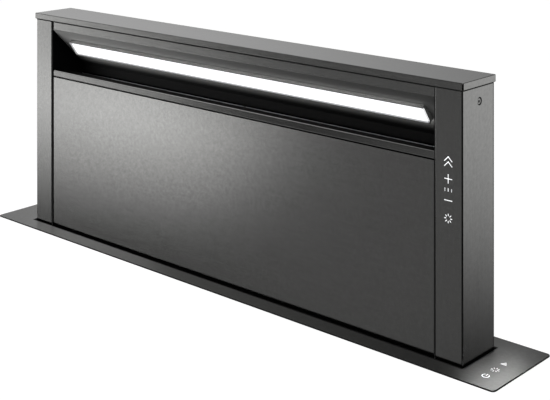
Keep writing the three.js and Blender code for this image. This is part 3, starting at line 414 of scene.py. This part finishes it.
def brushed_steel(name, dark, light, roughness, along, lean=0.0, depth_mm=0.004):
    material, tree, shader, place = new_finish(name, light, 1.0, roughness)
    per_metre = [1 / (line_mm * mm)] * 3
    per_metre[along] = 1 / (length_mm * mm)
    lines = add_node(tree, "ShaderNodeMapping", {"Vector": place, "Scale": per_metre})
    hair = add_node(tree, "ShaderNodeTexNoise", {"Vector": lines.outputs[0], "Scale": 1.0,
                                                 "Detail": 2.0})
    mottle = add_node(tree, "ShaderNodeTexNoise", {"Vector": place, "Scale": 1 / (mottle_mm * mm),
                                                   "Detail": 3.0})
    both = add_node(tree, "ShaderNodeMath", {0: hair.outputs[0], 1: mottle.outputs[0]},
                    operation="ADD")
    half = add_node(tree, "ShaderNodeMath", {0: both.outputs[0], 1: 0.5}, operation="MULTIPLY")
    lay_pattern(tree, shader, half.outputs[0], hair.outputs[0], hair.outputs[0], (dark, light),
                (roughness - 0.02, roughness + 0.02), depth_mm)
    if lean:
        facing = add_node(tree, "ShaderNodeNewGeometry")
        tilted = add_node(tree, "ShaderNodeVectorMath", {
            0: facing.outputs["Normal"], 1: (0, 0, math.tan(math.radians(lean)))}, operation="ADD")
        level = add_node(tree, "ShaderNodeVectorMath", {0: tilted.outputs[0]},
                         operation="NORMALIZE")
        relief = shader.inputs["Normal"].links[0].from_node
        tree.links.new(level.outputs[0], relief.inputs["Normal"])
    return material


steel_dark, steel_light = "#5d5d5c", "#6f6f6e"     # anthracite, and where it took less deep
tower_gloss, plate_gloss = 0.17, 0.36              # roughness of the two brushings
upright_depth_mm, plate_depth_mm = 0.0006, 0.0002


def tower_steel(name, along=x_axis, **changes):
    return brushed_steel(name, steel_dark, steel_light, tower_gloss, along, **changes)


black_steel = tower_steel("brushed black steel")
black_steel_upright = tower_steel("brushed black steel upright", z_axis,
                                  depth_mm=upright_depth_mm)
# The column, slope, sill, rear and cap sheets made here get painted shade further down
column_steel = tower_steel("black steel painted inside with painted shade", z_axis, depth_mm=upright_depth_mm)
slope_steel = tower_steel("black steel with a satin slope and painted shade")
channel_steel = tower_steel("satin grey light channel")
sill_steel = tower_steel("brushed black steel leaning", lean=3.5)
rear_steel = tower_steel("black steel painted on its inner side with painted shade")
cap_steel = tower_steel("black steel with painted shade below")
plate_steel = brushed_steel("fine brushed black steel", "#696968", "#7d7d7c",
                            plate_gloss, x_axis, depth_mm=plate_depth_mm)
print("black steel:", black_steel.name, sill_steel.name, plate_steel.name)

# %% [markdown]
# ### Paint and painted shade on one side of a sheet
# The columns' inner faces, the back of the strip under the intake and the inner side of the
# rear panel are matt black, so the intake swallows the light; that black is partly paint and
# partly painted shade, the dark inside the intake. The cap's underside and the plate's edge
# are painted dark as painted shade. The slope and the light channel are matt grey, so the
# lens has something to shine on, and the slope is painted darker, to black, towards the
# throat, as painted shade. The faces could be picked one by one for a second material, but a
# mask along one axis needs no list: what lies nearer to the middle of the part than a limit
# is painted, and beyond it is bare steel.

# %% Paint and painted shade behind a limit
no_fade = (0.5, 1.0)     # metres behind the middle, where the part has ended
# matt_black_and_shade is the black paint, and also the painted shade that the slope darkens to
matt_black_and_shade, satin_grey, least_shine = "#040404", "#383837", 0.02


def paint_and_shade_masked(material, axis, limit, colour, roughness, shine, fade=no_fade):
    tree = material.node_tree
    steel = tree.nodes["Principled BSDF"]
    place = add_node(tree, "ShaderNodeTexCoord").outputs["Object"]
    sides = add_node(tree, "ShaderNodeSeparateXYZ", {0: place})
    away = add_node(tree, "ShaderNodeMath", {0: sides.outputs[axis]}, operation="ABSOLUTE")
    masked = add_node(tree, "ShaderNodeMath", {0: away.outputs[0], 1: limit},
                      operation="LESS_THAN")
    # Painted shade: between near and far the colour darkens to matt black and the shine drops
    near, far = fade      # from front to rear, the stretch over which the paint turns black
    deep = add_node(tree, "ShaderNodeMapRange", {
        "Value": sides.outputs[y_axis], "From Min": near, "From Max": far},
        interpolation_type="SMOOTHSTEP")
    coat = add_node(tree, "ShaderNodeMix", {0: deep.outputs[0], 6: linear(colour),
                                            7: linear(matt_black_and_shade)}, data_type="RGBA")
    sheen = add_node(tree, "ShaderNodeMapRange", {"Value": deep.outputs[0], "To Min": shine,
                                                  "To Max": least_shine})
    paint = add_node(tree, "ShaderNodeBsdfPrincipled", {
        "Base Color": coat.outputs[2], "Roughness": roughness,
        "Specular IOR Level": sheen.outputs[0],
        "Normal": steel.inputs["Normal"].links[0].from_socket})
    both = add_node(tree, "ShaderNodeMixShader", {0: masked.outputs[0], 1: steel.outputs[0],
                                                  2: paint.outputs[0]})
    tree.links.new(both.outputs[0], tree.nodes["Material Output"].inputs["Surface"])


within = 1.0             # metres, a limit that takes in the whole piece
# Painted shade: the columns' inner faces are near black, partly paint and partly the shade inside
# the intake
paint_and_shade_masked(column_steel, x_axis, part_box("column_right")[0].x + 0.15 * mm,
             "#050505", roughness=0.6, shine=0.03)
# Painted shade: the slope's satin grey darkens to black and loses its shine towards the throat
paint_and_shade_masked(slope_steel, y_axis, -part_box("light_deflector")[0].y - 0.02 * mm,
             satin_grey, roughness=0.75, shine=0.3, fade=(8 * mm, 25 * mm))
paint_and_shade_masked(channel_steel, y_axis, within, satin_grey, roughness=0.75, shine=0.3)
# Painted shade: the sill's back is matt black, partly paint and partly the shade behind it
paint_and_shade_masked(sill_steel, y_axis, -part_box("sill_rail")[0].y - 0.9 * mm,
             matt_black_and_shade, roughness=0.6, shine=0.03)
# Painted shade: the rear panel's inner side is matt black, partly paint and partly the shade inside
# the tower
paint_and_shade_masked(rear_steel, y_axis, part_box("rear_panel")[1].y - 0.7 * mm,
             matt_black_and_shade, roughness=0.6, shine=0.03)
# Painted shade: the cap's underside and lower rounding are painted dark grey, for the shade under
# its overhang
paint_and_shade_masked(cap_steel, z_axis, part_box("top_cap")[0].z + 0.75 * mm,
             "#3a3a39", roughness=0.6, shine=0.1)
# Painted shade: the plate's edge, and the walls of the slot liner that shares this finish, are
# painted near black
paint_and_shade_masked(plate_steel, z_axis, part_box("worktop_plate")[1].z - 0.1 * mm,
             "#0c0c0c", roughness=0.6, shine=0.05)
print("painted:", column_steel.name, "and", slope_steel.name)

# %% [markdown]
# ### Galvanised sheet
# The casing is hot-dip galvanised steel. Zinc freezes in flat crystals called spangle, 5 to
# 12 mm across, and each crystal mirrors the light a little differently. Cloudy noise would
# have no crystal edges, so the pattern is Voronoi cells, with a fine frost on top.

# %% Galvanised sheet
def galvanised_sheet():
    material, tree, shader, place = new_finish("galvanised sheet", "#aeb2b5", 1.0, 0.42)
    spangle_mm, frost_mm = 9, 4.5
    crystal = add_node(tree, "ShaderNodeTexVoronoi", {
        "Vector": place, "Scale": 1 / (spangle_mm * mm)})
    tone = add_node(tree, "ShaderNodeSeparateColor", {"Color": crystal.outputs["Color"]})
    frost = add_node(tree, "ShaderNodeTexNoise", {"Vector": place, "Scale": 1 / (frost_mm * mm),
                                                  "Detail": 4.0})
    lay_pattern(tree, shader, tone.outputs[0], tone.outputs[1], frost.outputs[0],
                ("#9ea2a5", "#b8bcbf"), (0.36, 0.50), 0.02)
    return material


zinc_sheet = galvanised_sheet()
print("sheet:", zinc_sheet.name)

# %% [markdown]
# ### The other metals
# Guide rods, racks and the cross shaft are ground steel: bright, with faint rings from the
# grinding wheel. Brackets and filters are aluminium, cast or milled, with a matte skin. The
# pinions are cut from brass bar, and show fine turning lines. All sit in the shade under the
# worktop, so one function with a fine grain and a slow change of tone does for the three.

# %% Ground steel, aluminium and brass
patch_mm = 40


def worked_metal(name, dark, light, roughness, grain_mm, depth_mm):
    material, tree, shader, place = new_finish(name, light, 1.0, roughness)
    grain = add_node(tree, "ShaderNodeTexNoise", {"Vector": place, "Scale": 1 / (grain_mm * mm),
                                                  "Detail": 3.0})
    patch = add_node(tree, "ShaderNodeTexNoise", {"Vector": place, "Scale": 1 / (patch_mm * mm),
                                                  "Detail": 2.0})
    lay_pattern(tree, shader, patch.outputs[0], grain.outputs[0], grain.outputs[0], (dark, light),
                (roughness - 0.05, roughness + 0.07), depth_mm)
    return material


ground_steel = worked_metal("ground steel", "#b3b6b9", "#cbcdcf", 0.22, 0.8, 0.003)
cast_aluminium = worked_metal("cast aluminium", "#adb0b3", "#c2c4c7", 0.42, 1.2, 0.02)
cut_brass = worked_metal("cut brass", "#a88546", "#c6a664", 0.30, 0.6, 0.004)
print("metals:", ground_steel.name, cast_aluminium.name, cut_brass.name)

# %% [markdown]
# ### Plastics, foam and board
# The blower wheel, motor housing and control box are moulded in black glass-filled nylon,
# with a fine spark-eroded grain. The bushes are natural acetal, slightly waxy. The strip
# under the plate is closed-cell foam, and the touch boards are green with a solder mask. They
# differ in colour, gloss and grain but not in kind, so they share one function. Only acetal
# lets light in, which a little subsurface scattering gives.

# %% Moulded and foamed materials
def moulded(name, dark, light, roughness, grain_mm, depth_mm, wax=0.0):
    material, tree, shader, place = new_finish(name, light, 0.0, roughness)
    grain = add_node(tree, "ShaderNodeTexNoise", {"Vector": place, "Scale": 1 / (grain_mm * mm),
                                                  "Detail": 4.0})
    lay_pattern(tree, shader, grain.outputs[0], grain.outputs[0], grain.outputs[0], (dark, light),
                (roughness - 0.06, roughness + 0.06), depth_mm)
    shader.inputs["Subsurface Weight"].default_value = wax
    return material


black_nylon = moulded("black glass-filled nylon", "#1a1b1c", "#232425", 0.55, 0.9, 0.03)
natural_acetal = moulded("natural acetal", "#dedbd0", "#ebe9e1", 0.40, 1.5, 0.01, 0.05)
foam_strip = moulded("closed-cell foam", "#070707", "#101010", 0.90, 0.7, 0.15)
solder_mask = moulded("green solder mask", "#17402c", "#235139", 0.35, 2.0, 0.02)
print("plastics:", black_nylon.name, natural_acetal.name, foam_strip.name, solder_mask.name)

# %% [markdown]
# ### The lit lens and the lit icons
# The lens is opal acrylic over a strip of LEDs. Opal hides the single LEDs, so the lens is
# an even white, and it dims over the last millimetre or two, where it is clamped and no
# LED stands behind it. The touch icons are cut through the black finish and filled with the
# same opal, lit from behind a little less. Real opal scatters light from within, which is
# slow to render. A surface that glows by itself looks the same from outside.

# %% Opal acrylic
haze_mm, haze_share = 16, 0.04     # the glow differs by this share from spot to spot


def opal_acrylic(name, strength, lit_box=None):
    material, tree, shader, place = new_finish(name, "#f4f6f8", 0.0, 0.35)
    haze = add_node(tree, "ShaderNodeTexNoise", {"Vector": place, "Scale": 1 / (haze_mm * mm),
                                                 "Detail": 1.0})
    glow = add_node(tree, "ShaderNodeMapRange", {
        "Value": haze.outputs[0], "To Min": strength * (1 - haze_share),
        "To Max": strength * (1 + haze_share)}).outputs[0]
    if lit_box:
        middle, half, rim = lit_box
        from_middle = add_node(tree, "ShaderNodeVectorMath", {0: place, 1: middle},
                               operation="SUBTRACT")
        away = add_node(tree, "ShaderNodeVectorMath", {0: from_middle.outputs[0]},
                        operation="ABSOLUTE")
        sides = add_node(tree, "ShaderNodeSeparateXYZ", {0: away.outputs[0]})
        for axis in (x_axis, z_axis):
            fade = add_node(tree, "ShaderNodeMapRange", {
                "Value": sides.outputs[axis], "From Min": half[axis],
                "From Max": half[axis] - rim, "To Min": 0.1, "To Max": 1.0})
            glow = add_node(tree, "ShaderNodeMath", {0: glow, 1: fade.outputs[0]},
                            operation="MULTIPLY").outputs[0]
    tree.links.new(glow, shader.inputs["Emission Strength"])
    shader.inputs["Emission Color"].default_value = linear("#fdfeff")
    return material


lit_middle = (2.6 * mm, 0, (lens_low.z + lens_high.z) / 2 + 0.2 * mm)
lit_half = (lens_length / 2 - 2.0 * mm, 0, (lens_high.z - lens_low.z) / 2 - 1.5 * mm)
lit_rim = 1.2 * mm
opal_lens = opal_acrylic("lit opal acrylic", 1.3, (lit_middle, lit_half, lit_rim))
opal_icons = opal_acrylic("lit opal icons", 0.62)
opal_icons_dim = opal_acrylic("dimmed opal icons", 0.22)
print("lens lit over", round(lit_half[0] * 2, 3), "m")

# %% [markdown]
# ### Which finish goes where
# The record names a material slot for each node, so most nodes get their finish by that
# name. The sheets with paint or with an upright grain have a finish of their own, in a
# second table that is looked up first. Giving each node its finish by hand would be longer,
# and a node that is forgotten would stay grey.

# %% Finishes onto the CAD nodes
by_slot = {
    "black_steel": black_steel, "plate_steel": plate_steel, "zinc_sheet": zinc_sheet,
    "bright_steel": ground_steel, "aluminium": cast_aluminium, "black_plastic": black_nylon,
    "acetal": natural_acetal, "brass": cut_brass, "rubber": foam_strip,
    "circuit_board": solder_mask, "opal_lens": opal_lens,
}
by_node = {
    "column_left": column_steel, "column_right": column_steel, "sill_rail": sill_steel,
    "light_deflector": slope_steel, "light_channel": channel_steel, "top_cap": cap_steel,
    "rear_panel": rear_steel,
}
for part in frame["record"]["subparts"]:
    target = nodes[part["node"]]
    target.data.materials.clear()
    target.data.materials.append(by_node.get(part["node"], by_slot[part["material_slot"]]))

# %% [markdown]
# ## Smooth bends
# Folded sheet never ends in a knife edge: a bend has a radius that catches a thin line of
# light. The CAD model has these radii as a few flat facets. A small node group shades them
# as one curve and keeps the real corners sharp, and weighted normals keep the flat faces
# beside them flat. More facets would do it too, but the mesh of the CAD model isn't changed.

# %% Smooth shading by angle
def smooth_by_angle(limit):
    group = bpy.data.node_groups.new("smooth_by_angle", "GeometryNodeTree")
    group.interface.new_socket("Geometry", in_out="INPUT", socket_type="NodeSocketGeometry")
    group.interface.new_socket("Geometry", in_out="OUTPUT", socket_type="NodeSocketGeometry")
    start = add_node(group, "NodeGroupInput")
    angle = add_node(group, "GeometryNodeInputMeshEdgeAngle")
    sharp = add_node(group, "FunctionNodeCompare", {0: angle.outputs[0], 1: math.radians(limit)},
                     data_type="FLOAT", operation="GREATER_THAN")
    faces = add_node(group, "GeometryNodeSetShadeSmooth", {0: start.outputs[0],
                                                           "Shade Smooth": True}, domain="FACE")
    edges = add_node(group, "GeometryNodeSetShadeSmooth", {
        0: faces.outputs[0], "Selection": sharp.outputs[0], "Shade Smooth": False}, domain="EDGE")
    add_node(group, "NodeGroupOutput", {0: edges.outputs[0]})
    return group


bend_limit = 38     # degrees: the facets of a bend meet at less, real corners at more
smoothing = smooth_by_angle(bend_limit)


def smooth_bends(target):
    weld = target.modifiers.new("weld", "WELD")
    weld.merge_threshold = 0.01 * mm
    shade = target.modifiers.new("shade", "NODES")
    shade.node_group = smoothing
    flat = target.modifiers.new("flat_faces_stay_flat", "WEIGHTED_NORMAL")
    flat.keep_sharp = True
    flat.weight = 100      # the largest faces decide the normal at a shared corner
    flat.thresh = 1e-5     # square metres: a smaller difference in area counts as none


for target in nodes.values():
    smooth_bends(target)
print("smoothed:", len(nodes))

# %% [markdown]
# ## The touch icons
# The icons are laser-cut strokes about a millimetre wide: rise, plus, a level of three bars,
# minus and light on the right column, and on the plate power, light and rise, for when the
# tower is down. Text objects have no such signs, and a picture on the steel would blur, so
# each icon is a few flat strokes: one function draws a stroke as a slim prism with round
# ends, and one list holds the drawing in millimetres.

# %% Strokes
stroke_end_steps = 4


def add_stroke(builder, points, width, origin, across, up, out, thickness):
    path = [Vector(point) for point in points]
    for start, stop in zip(path, path[1:]):
        along = (stop - start).normalized()
        turn_start = math.atan2(along.y, along.x)
        outline = []
        for end, first in ((stop, turn_start - math.pi / 2), (start, turn_start + math.pi / 2)):
            for step in range(stroke_end_steps + 1):
                angle = first + math.pi * step / stroke_end_steps
                outline.append(end + Vector((math.cos(angle), math.sin(angle))) * width / 2)
        add_plaque(builder, outline, origin, across, up, out, thickness)


def add_plaque(builder, outline, origin, across, up, out, thickness):
    layers = [[builder.verts.new(origin + (across * p[0] + up * p[1] + out * lift) * mm)
               for p in outline] for lift in (-thickness, thickness)]
    builder.faces.new(layers[0])
    builder.faces.new(list(reversed(layers[1])))
    for i in range(len(outline)):
        builder.faces.new((layers[0][i - 1], layers[0][i], layers[1][i], layers[1][i - 1]))


def ring(radius, first, last, steps=20):
    turns = [math.radians(first + (last - first) * i / steps) for i in range(steps + 1)]
    return [(radius * math.sin(a), radius * math.cos(a)) for a in turns]


def rays(count, inner, outer):
    turns = [2 * math.pi * i / count for i in range(count)]
    return [[(r * math.sin(a), r * math.cos(a)) for r in (inner, outer)] for a in turns]


print("stroke ends have", stroke_end_steps, "facets")

# %% [markdown]
# ### Icons on the right column
# Four keys and a level of three bars stand in a row on the column's front. Each entry of the
# table is one icon at its height over the plate. The outer two bars are dim, so they are a
# piece of their own with a dimmer opal.

# %% Icons on the right column
column_low, column_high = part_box("column_right")
plate_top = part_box("worktop_plate")[1].z
icon_lift = 0.04     # mm that the opal stands proud of the steel
thin, bold = 0.9, 1.0
chevron = [(-5, -4.8), (0, 0), (5, -4.8)]
icon_column_x = 363.6 * mm
bars_level, bar_half = 191.9, 1.5
column_icons = {     # height over the plate in mm: strokes, and their width
    228.9: ([chevron], bold),
    223.2: ([chevron], bold),
    204.3: ([[(-4.9, 0), (4.9, 0)], [(0, -4.9), (0, 4.9)]], thin),
    bars_level: ([[(0, -bar_half), (0, bar_half)]], thin),
    180.2: ([[(-5.0, 0), (5.0, 0)]], thin),
    160.1: (rays(8, 3.0, 4.9), thin),
}
column_face = (Vector((1, 0, 0)), Vector((0, 0, 1)), Vector((0, -1, 0)), icon_lift)


def build_column_icons(builder):
    for level, (strokes, width) in column_icons.items():
        origin = Vector((icon_column_x, column_low.y, plate_top + level * mm))
        for stroke in strokes:
            add_stroke(builder, stroke, width, origin, *column_face)


def build_dim_bars(builder):
    origin = Vector((icon_column_x, column_low.y, plate_top + bars_level * mm))
    for x in (-4.4, 4.4):
        add_stroke(builder, [(x, -bar_half), (x, bar_half)], thin, origin, *column_face)


add_piece("column_icons", build_column_icons, opal_icons, "tower", "opal_lens")
add_piece("column_level_bars", build_dim_bars, opal_icons_dim, "tower", "opal_lens")
print("column icons:", len(column_icons))

# %% [markdown]
# ### Icons on the plate
# Three keys lie on the plate's right end, in reach when the tower is down: power, light and
# rise. The ring of the power sign is open at the top for its stroke. The arrow is filled, so
# it is one flat outline and no stroke.

# %% Icons on the right end of the plate
plate_icon_x = 412.9 * mm
power_y, light_y, rise_y = -33.7 * mm, -14.3 * mm, 5.3 * mm
arrow = [(-4.2, -3.0), (4.2, -3.0), (0, 4.0)]
plate_face = (Vector((1, 0, 0)), Vector((0, 1, 0)), Vector((0, 0, 1)), icon_lift)


def build_plate_icons(builder):
    power, light, rise = (Vector((plate_icon_x, y, plate_top))
                          for y in (power_y, light_y, rise_y))
    add_stroke(builder, ring(4.0, 35, 325), thin, power, *plate_face)
    add_stroke(builder, [(0, 0.8), (0, 4.8)], thin, power, *plate_face)
    for stroke in rays(8, 2.8, 4.9):
        add_stroke(builder, stroke, thin, light, *plate_face)
    add_plaque(builder, arrow, rise, *plate_face)


add_piece("plate_icons", build_plate_icons, opal_icons, "casing", "opal_lens")
print("plate icons at x", plate_icon_x)

# %% [markdown]
# ## Seals
# A black rubber bead closes the joint under the cap, and shows as the thin dark line between
# cap and tower; that line is partly painted shade, the shadow under the cap's overhang. A
# second bead wraps the edge of the plate, so that water can't creep under it. In the slot, a
# steel liner closes in the ends, a rubber skirt hangs down inside it to keep crumbs out, and a
# flat rubber lip lies along its front and back; the lip's black is partly painted shade, the
# dark of the gap. All five are closed rings with rounded corners. A curve with a bevel could
# draw them, but it rounds the profile too, so one four-cornered profile is swept round
# instead.
#
# The plate and the pieces around the slot are hidden from mirror rays. Otherwise the tower's
# foot would mirror them as a grey band, where it should show the room and a dark slot.

# %% Ring-shaped seals
corner_steps = 4
least_radius = 0.05 * mm


def add_ring_seal(builder, outer, inner, corner, low, high):
    loops = []
    for half, level in ((outer, low), (outer, high), (inner, high), (inner, low)):
        radius = max(corner + half[0] - outer[0], least_radius)
        loop = []
        for quarter, (side_x, side_y) in enumerate(((1, 1), (-1, 1), (-1, -1), (1, -1))):
            for step in range(corner_steps + 1):
                angle = math.pi / 2 * (quarter + step / corner_steps)
                x = side_x * (half[0] - radius) + radius * math.cos(angle)
                y = side_y * (half[1] - radius) + radius * math.sin(angle)
                loop.append(builder.verts.new((x, y, level)))
        loops.append(loop)
    for low_loop, high_loop in zip(loops, loops[1:] + loops[:1]):
        for i in range(len(low_loop)):
            builder.faces.new((low_loop[i - 1], low_loop[i], high_loop[i], high_loop[i - 1]))


cap_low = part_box("top_cap")[0]
plate_low, plate_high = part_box("worktop_plate")
plate_half = Vector((plate_high.x, plate_high.y))
tower_half = Vector((column_high.x, -column_low.y))
slot_half = Vector((384.7, 35.95)) * mm   # what the liner leaves open, just wider than the cap
bead = Vector((0.15, 0.15)) * mm
cap_corner, plate_corner, slot_corner = 1.7 * mm, 5 * mm, 0.8 * mm
rubber_proud, liner_proud = 0.03 * mm, 0.01 * mm   # how far a ring stands out of the plate
of_rubber = (foam_strip, "casing", "rubber")
seals = {     # outer and inner half sizes, corner radius, low and high level, then the finish
    # Partly painted shade: the cap seal's black gives the shadow line under the cap's overhang
    "cap_seal_and_shadow_line": (tower_half + bead, tower_half - 6 * bead, cap_corner,
                 cap_low.z - 1.5 * mm, cap_low.z + 0.2 * mm, (foam_strip, "tower", "rubber")),
    "plate_edge_seal": (plate_half + bead / 2, plate_half - 6 * bead, plate_corner,
                        plate_low.z, plate_high.z + rubber_proud, of_rubber),
    "slot_liner": (slot_half + Vector((1.9, 0.15)) * mm, slot_half, slot_corner,
                   plate_low.z, plate_high.z + liner_proud, (plate_steel, "casing", "plate_steel")),
    "slot_skirt": (slot_half + Vector((0.15, 0.1)) * mm, slot_half - Vector((0.02, 0.1)) * mm,
                   slot_corner, plate_low.z - 5 * mm, plate_high.z - 0.1 * mm, of_rubber),
    # Partly painted shade: the slot lip's black gives the dark of the gap along the slot's front
    # and back
    "slot_lip_and_shade": (slot_half + Vector((0.25, 1.7)) * mm, slot_half, slot_corner,
                 plate_low.z + 0.2 * mm, plate_high.z + rubber_proud, of_rubber),
}
for name, (*ring_sizes, finish) in seals.items():
    seal = add_piece(name, lambda builder: add_ring_seal(builder, *ring_sizes), *finish)
    seal.visible_glossy = name != "plate_edge_seal"
beside_slot = [nodes[name] for name in (
    "worktop_plate", "plate_gasket", "plate_key_board", "casing_front", "casing_back",
    "casing_end_left", "casing_end_right")]
for thing in beside_slot:
    thing.visible_glossy = False
print("seals:", list(seals))

# %% [markdown]
# ## Hems and edge beads
# The columns' inner edges carry a hem: the sheet is folded back on itself, so nobody cuts a
# finger on it, and the joint to the panel closes to a fine line. Behind it a black bead fills
# the joint down to the panel's foot. A bevel can't fold a sheet over, so both are drawn as a
# profile in millimetres and swept up the column's height, once on each side.

# %% Hems on the columns' inner edges
round_mm, round_steps = 1.2, 6
turns = [math.pi / 2 * step / round_steps for step in range(round_steps + 1)]
# both profiles in mm from the column's inner front edge: away from the panel, to the rear
hem_profile = [(2.0, -0.03)] + [(-0.45 - round_mm * math.sin(a), 1.17 - round_mm * math.cos(a))
                                for a in turns] + [(-1.4, 1.4), (0.2, 1.45), (2.0, 0.5)]
bead_profile = [(-1.5, 0.3), (-2.4, 0.25), (-2.85, 0.5), (-2.85, 1.3), (-2.5, 1.6), (-1.5, 1.6)]


def sweep_upright(builder, profile, low, high):
    for side in (-1, 1):
        loops = [[builder.verts.new((side * (column_low.x + x * mm), column_low.y + y * mm, z))
                  for x, y in profile] for z in (low, high)]
        for loop in loops:
            builder.faces.new(loop)
        for i in range(len(profile)):
            builder.faces.new((loops[0][i - 1], loops[0][i], loops[1][i], loops[1][i - 1]))


def build_hems(builder):
    sweep_upright(builder, hem_profile, column_low.z, column_high.z)


def build_edge_beads(builder):
    sweep_upright(builder, bead_profile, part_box("front_panel")[0].z, cap_low.z - 0.1 * mm)


smooth_bends(add_piece("column_hems", build_hems, black_steel_upright, "tower", "black_steel"))
smooth_bends(add_piece("column_edge_beads", build_edge_beads, foam_strip, "tower", "rubber"))
print("hem radius", round_mm, "mm")

# %% [markdown]
# ## Screws
# Every fixing on the real vent shows as a screw head. A head is turned from one profile: a
# skirt, a dome and a six-sided socket. A cylinder with a bevel would have no socket, so rings
# of points are skinned into a closed body and turned to face out of the sheet they sit on.
# Each ring has a radius, a lift out of the sheet, a mark for six sides and a shift to one
# side. The two side screws are different: a flat head lies flush in a wide black hole, a
# little off its middle.

# %% Screw heads
head_sides = 24
sixth, half_sixth = math.pi / 3, math.pi / 6


def add_head(builder, place, axis, rings):
    turn_to_axis = axis.to_track_quat("Z", "Y").to_matrix()
    loops = []
    for radius, lift, hexagonal, aside in rings:
        loop = []
        for i in range(head_sides):
            angle = 2 * math.pi * i / head_sides
            reach = radius
            if hexagonal:
                reach *= math.cos(half_sixth) / math.cos(angle % sixth - half_sixth)
            point = Vector((reach * math.cos(angle) + aside, reach * math.sin(angle), lift))
            loop.append(builder.verts.new(place + turn_to_axis @ point))
        loops.append(loop)
    builder.faces.new(loops[0])
    for low_loop, high_loop in zip(loops, loops[1:]):
        for i in range(head_sides):
            builder.faces.new((low_loop[i - 1], low_loop[i], high_loop[i], high_loop[i - 1]))
    builder.faces.new(loops[-1])


def pan_rings(radius):
    height = 0.62 * radius
    return [(radius * reach, lift, socket, 0) for reach, lift, socket in (
        (0.5, -0.2 * mm, False), (0.98, 0, False), (1, 0.3 * height, False),
        (0.86, 0.78 * height, False), (0.6, height, False), (0.46, height, True),
        (0.44, 0.35 * height, True))]


def sunk_rings(radius):
    return [(radius * reach, lift * mm, False, 0) for reach, lift in (
        (0.5, -3.0), (1, -1.9), (1, -0.02), (0.97, 0), (0.9, -0.5), (0.3, -0.6))]


def flush_rings(radius):
    aside = -0.28 * radius
    return [(radius * reach, lift * mm, socket, aside) for reach, lift, socket in (
        (0.5, -2.0, False), (0.72, -1.6, False), (0.74, -0.1, False), (0.66, 0, False),
        (0.4, 0, True), (0.39, -2.6, True))]


def add_screws(name, spots, axis, radius, material, body, slot, rings=pan_rings):
    def build(builder):
        for spot in spots:
            add_head(builder, Vector(spot), Vector(axis), rings(radius))
    smooth_bends(add_piece(name, build, material, body, slot))


hole_radius = 4.75 * mm
side_y, side_z = 2.2 * mm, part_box("top_cap")[1].z - 25.8 * mm
for name, side in (("left", -1), ("right", 1)):
    spot, outward = (side * column_high.x, side_y, side_z), (side, 0, 0)
    add_screws("side_screw_" + name, [spot], outward, hole_radius, black_steel_upright,
               "tower", "black_steel", flush_rings)
    add_screws("side_hole_" + name, [spot], outward, hole_radius, foam_strip,
               "tower", "rubber", sunk_rings)
print("side screws at z", round(side_z, 4))

# %% [markdown]
# ### Screws on the hidden sides
# The rear panel, the blower's cover and the control box come off for service, so each is held
# by pan-head screws along its rim. The places could be typed in, but they are worked out from
# each piece's box, and so follow the piece if its size changes.

# %% Screws on the hidden sides
tower_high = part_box("rear_panel")[1]
rear_inset, top_rise = 9 * mm, 14 * mm
rear_levels = [plate_top + share * (tower_high.z - plate_top) for share in (0.1, 0.37, 0.63, 0.9)]
rear_spots = [(side * (tower_high.x - rear_inset), tower_high.y, z)
              for side in (-1, 1) for z in rear_levels]
rear_spots += [(x, tower_high.y, rear_levels[-1] + top_rise) for x in (-0.18, 0, 0.18)]
add_screws("rear_panel_screws", rear_spots, (0, 1, 0), 3.2 * mm, black_steel, "tower",
           "black_steel")

cover_low, cover_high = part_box("blower_cover")
cover_inset = 12 * mm


def four_between(low, high):
    return [low + cover_inset + i / 3 * (high - low - 2 * cover_inset) for i in range(4)]


cover_xs = four_between(cover_low.x, cover_high.x)
cover_zs = four_between(cover_low.z, cover_high.z)
cover_spots = [(x, cover_low.y, z) for x in cover_xs for z in cover_zs
               if x in (cover_xs[0], cover_xs[-1]) or z in (cover_zs[0], cover_zs[-1])]
add_screws("blower_cover_screws", cover_spots, (0, -1, 0), 4 * mm, ground_steel, "casing",
           "bright_steel")

box_low, box_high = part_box("control_box")
box_inset = 8 * mm
box_spots = [(x, box_low.y, z) for x in (box_low.x + box_inset, box_high.x - box_inset)
             for z in (box_low.z + box_inset, box_high.z - box_inset)]
add_screws("control_box_screws", box_spots, (0, -1, 0), 3 * mm, ground_steel, "casing",
           "bright_steel")
print("screws:", len(rear_spots) + len(cover_spots) + len(box_spots))
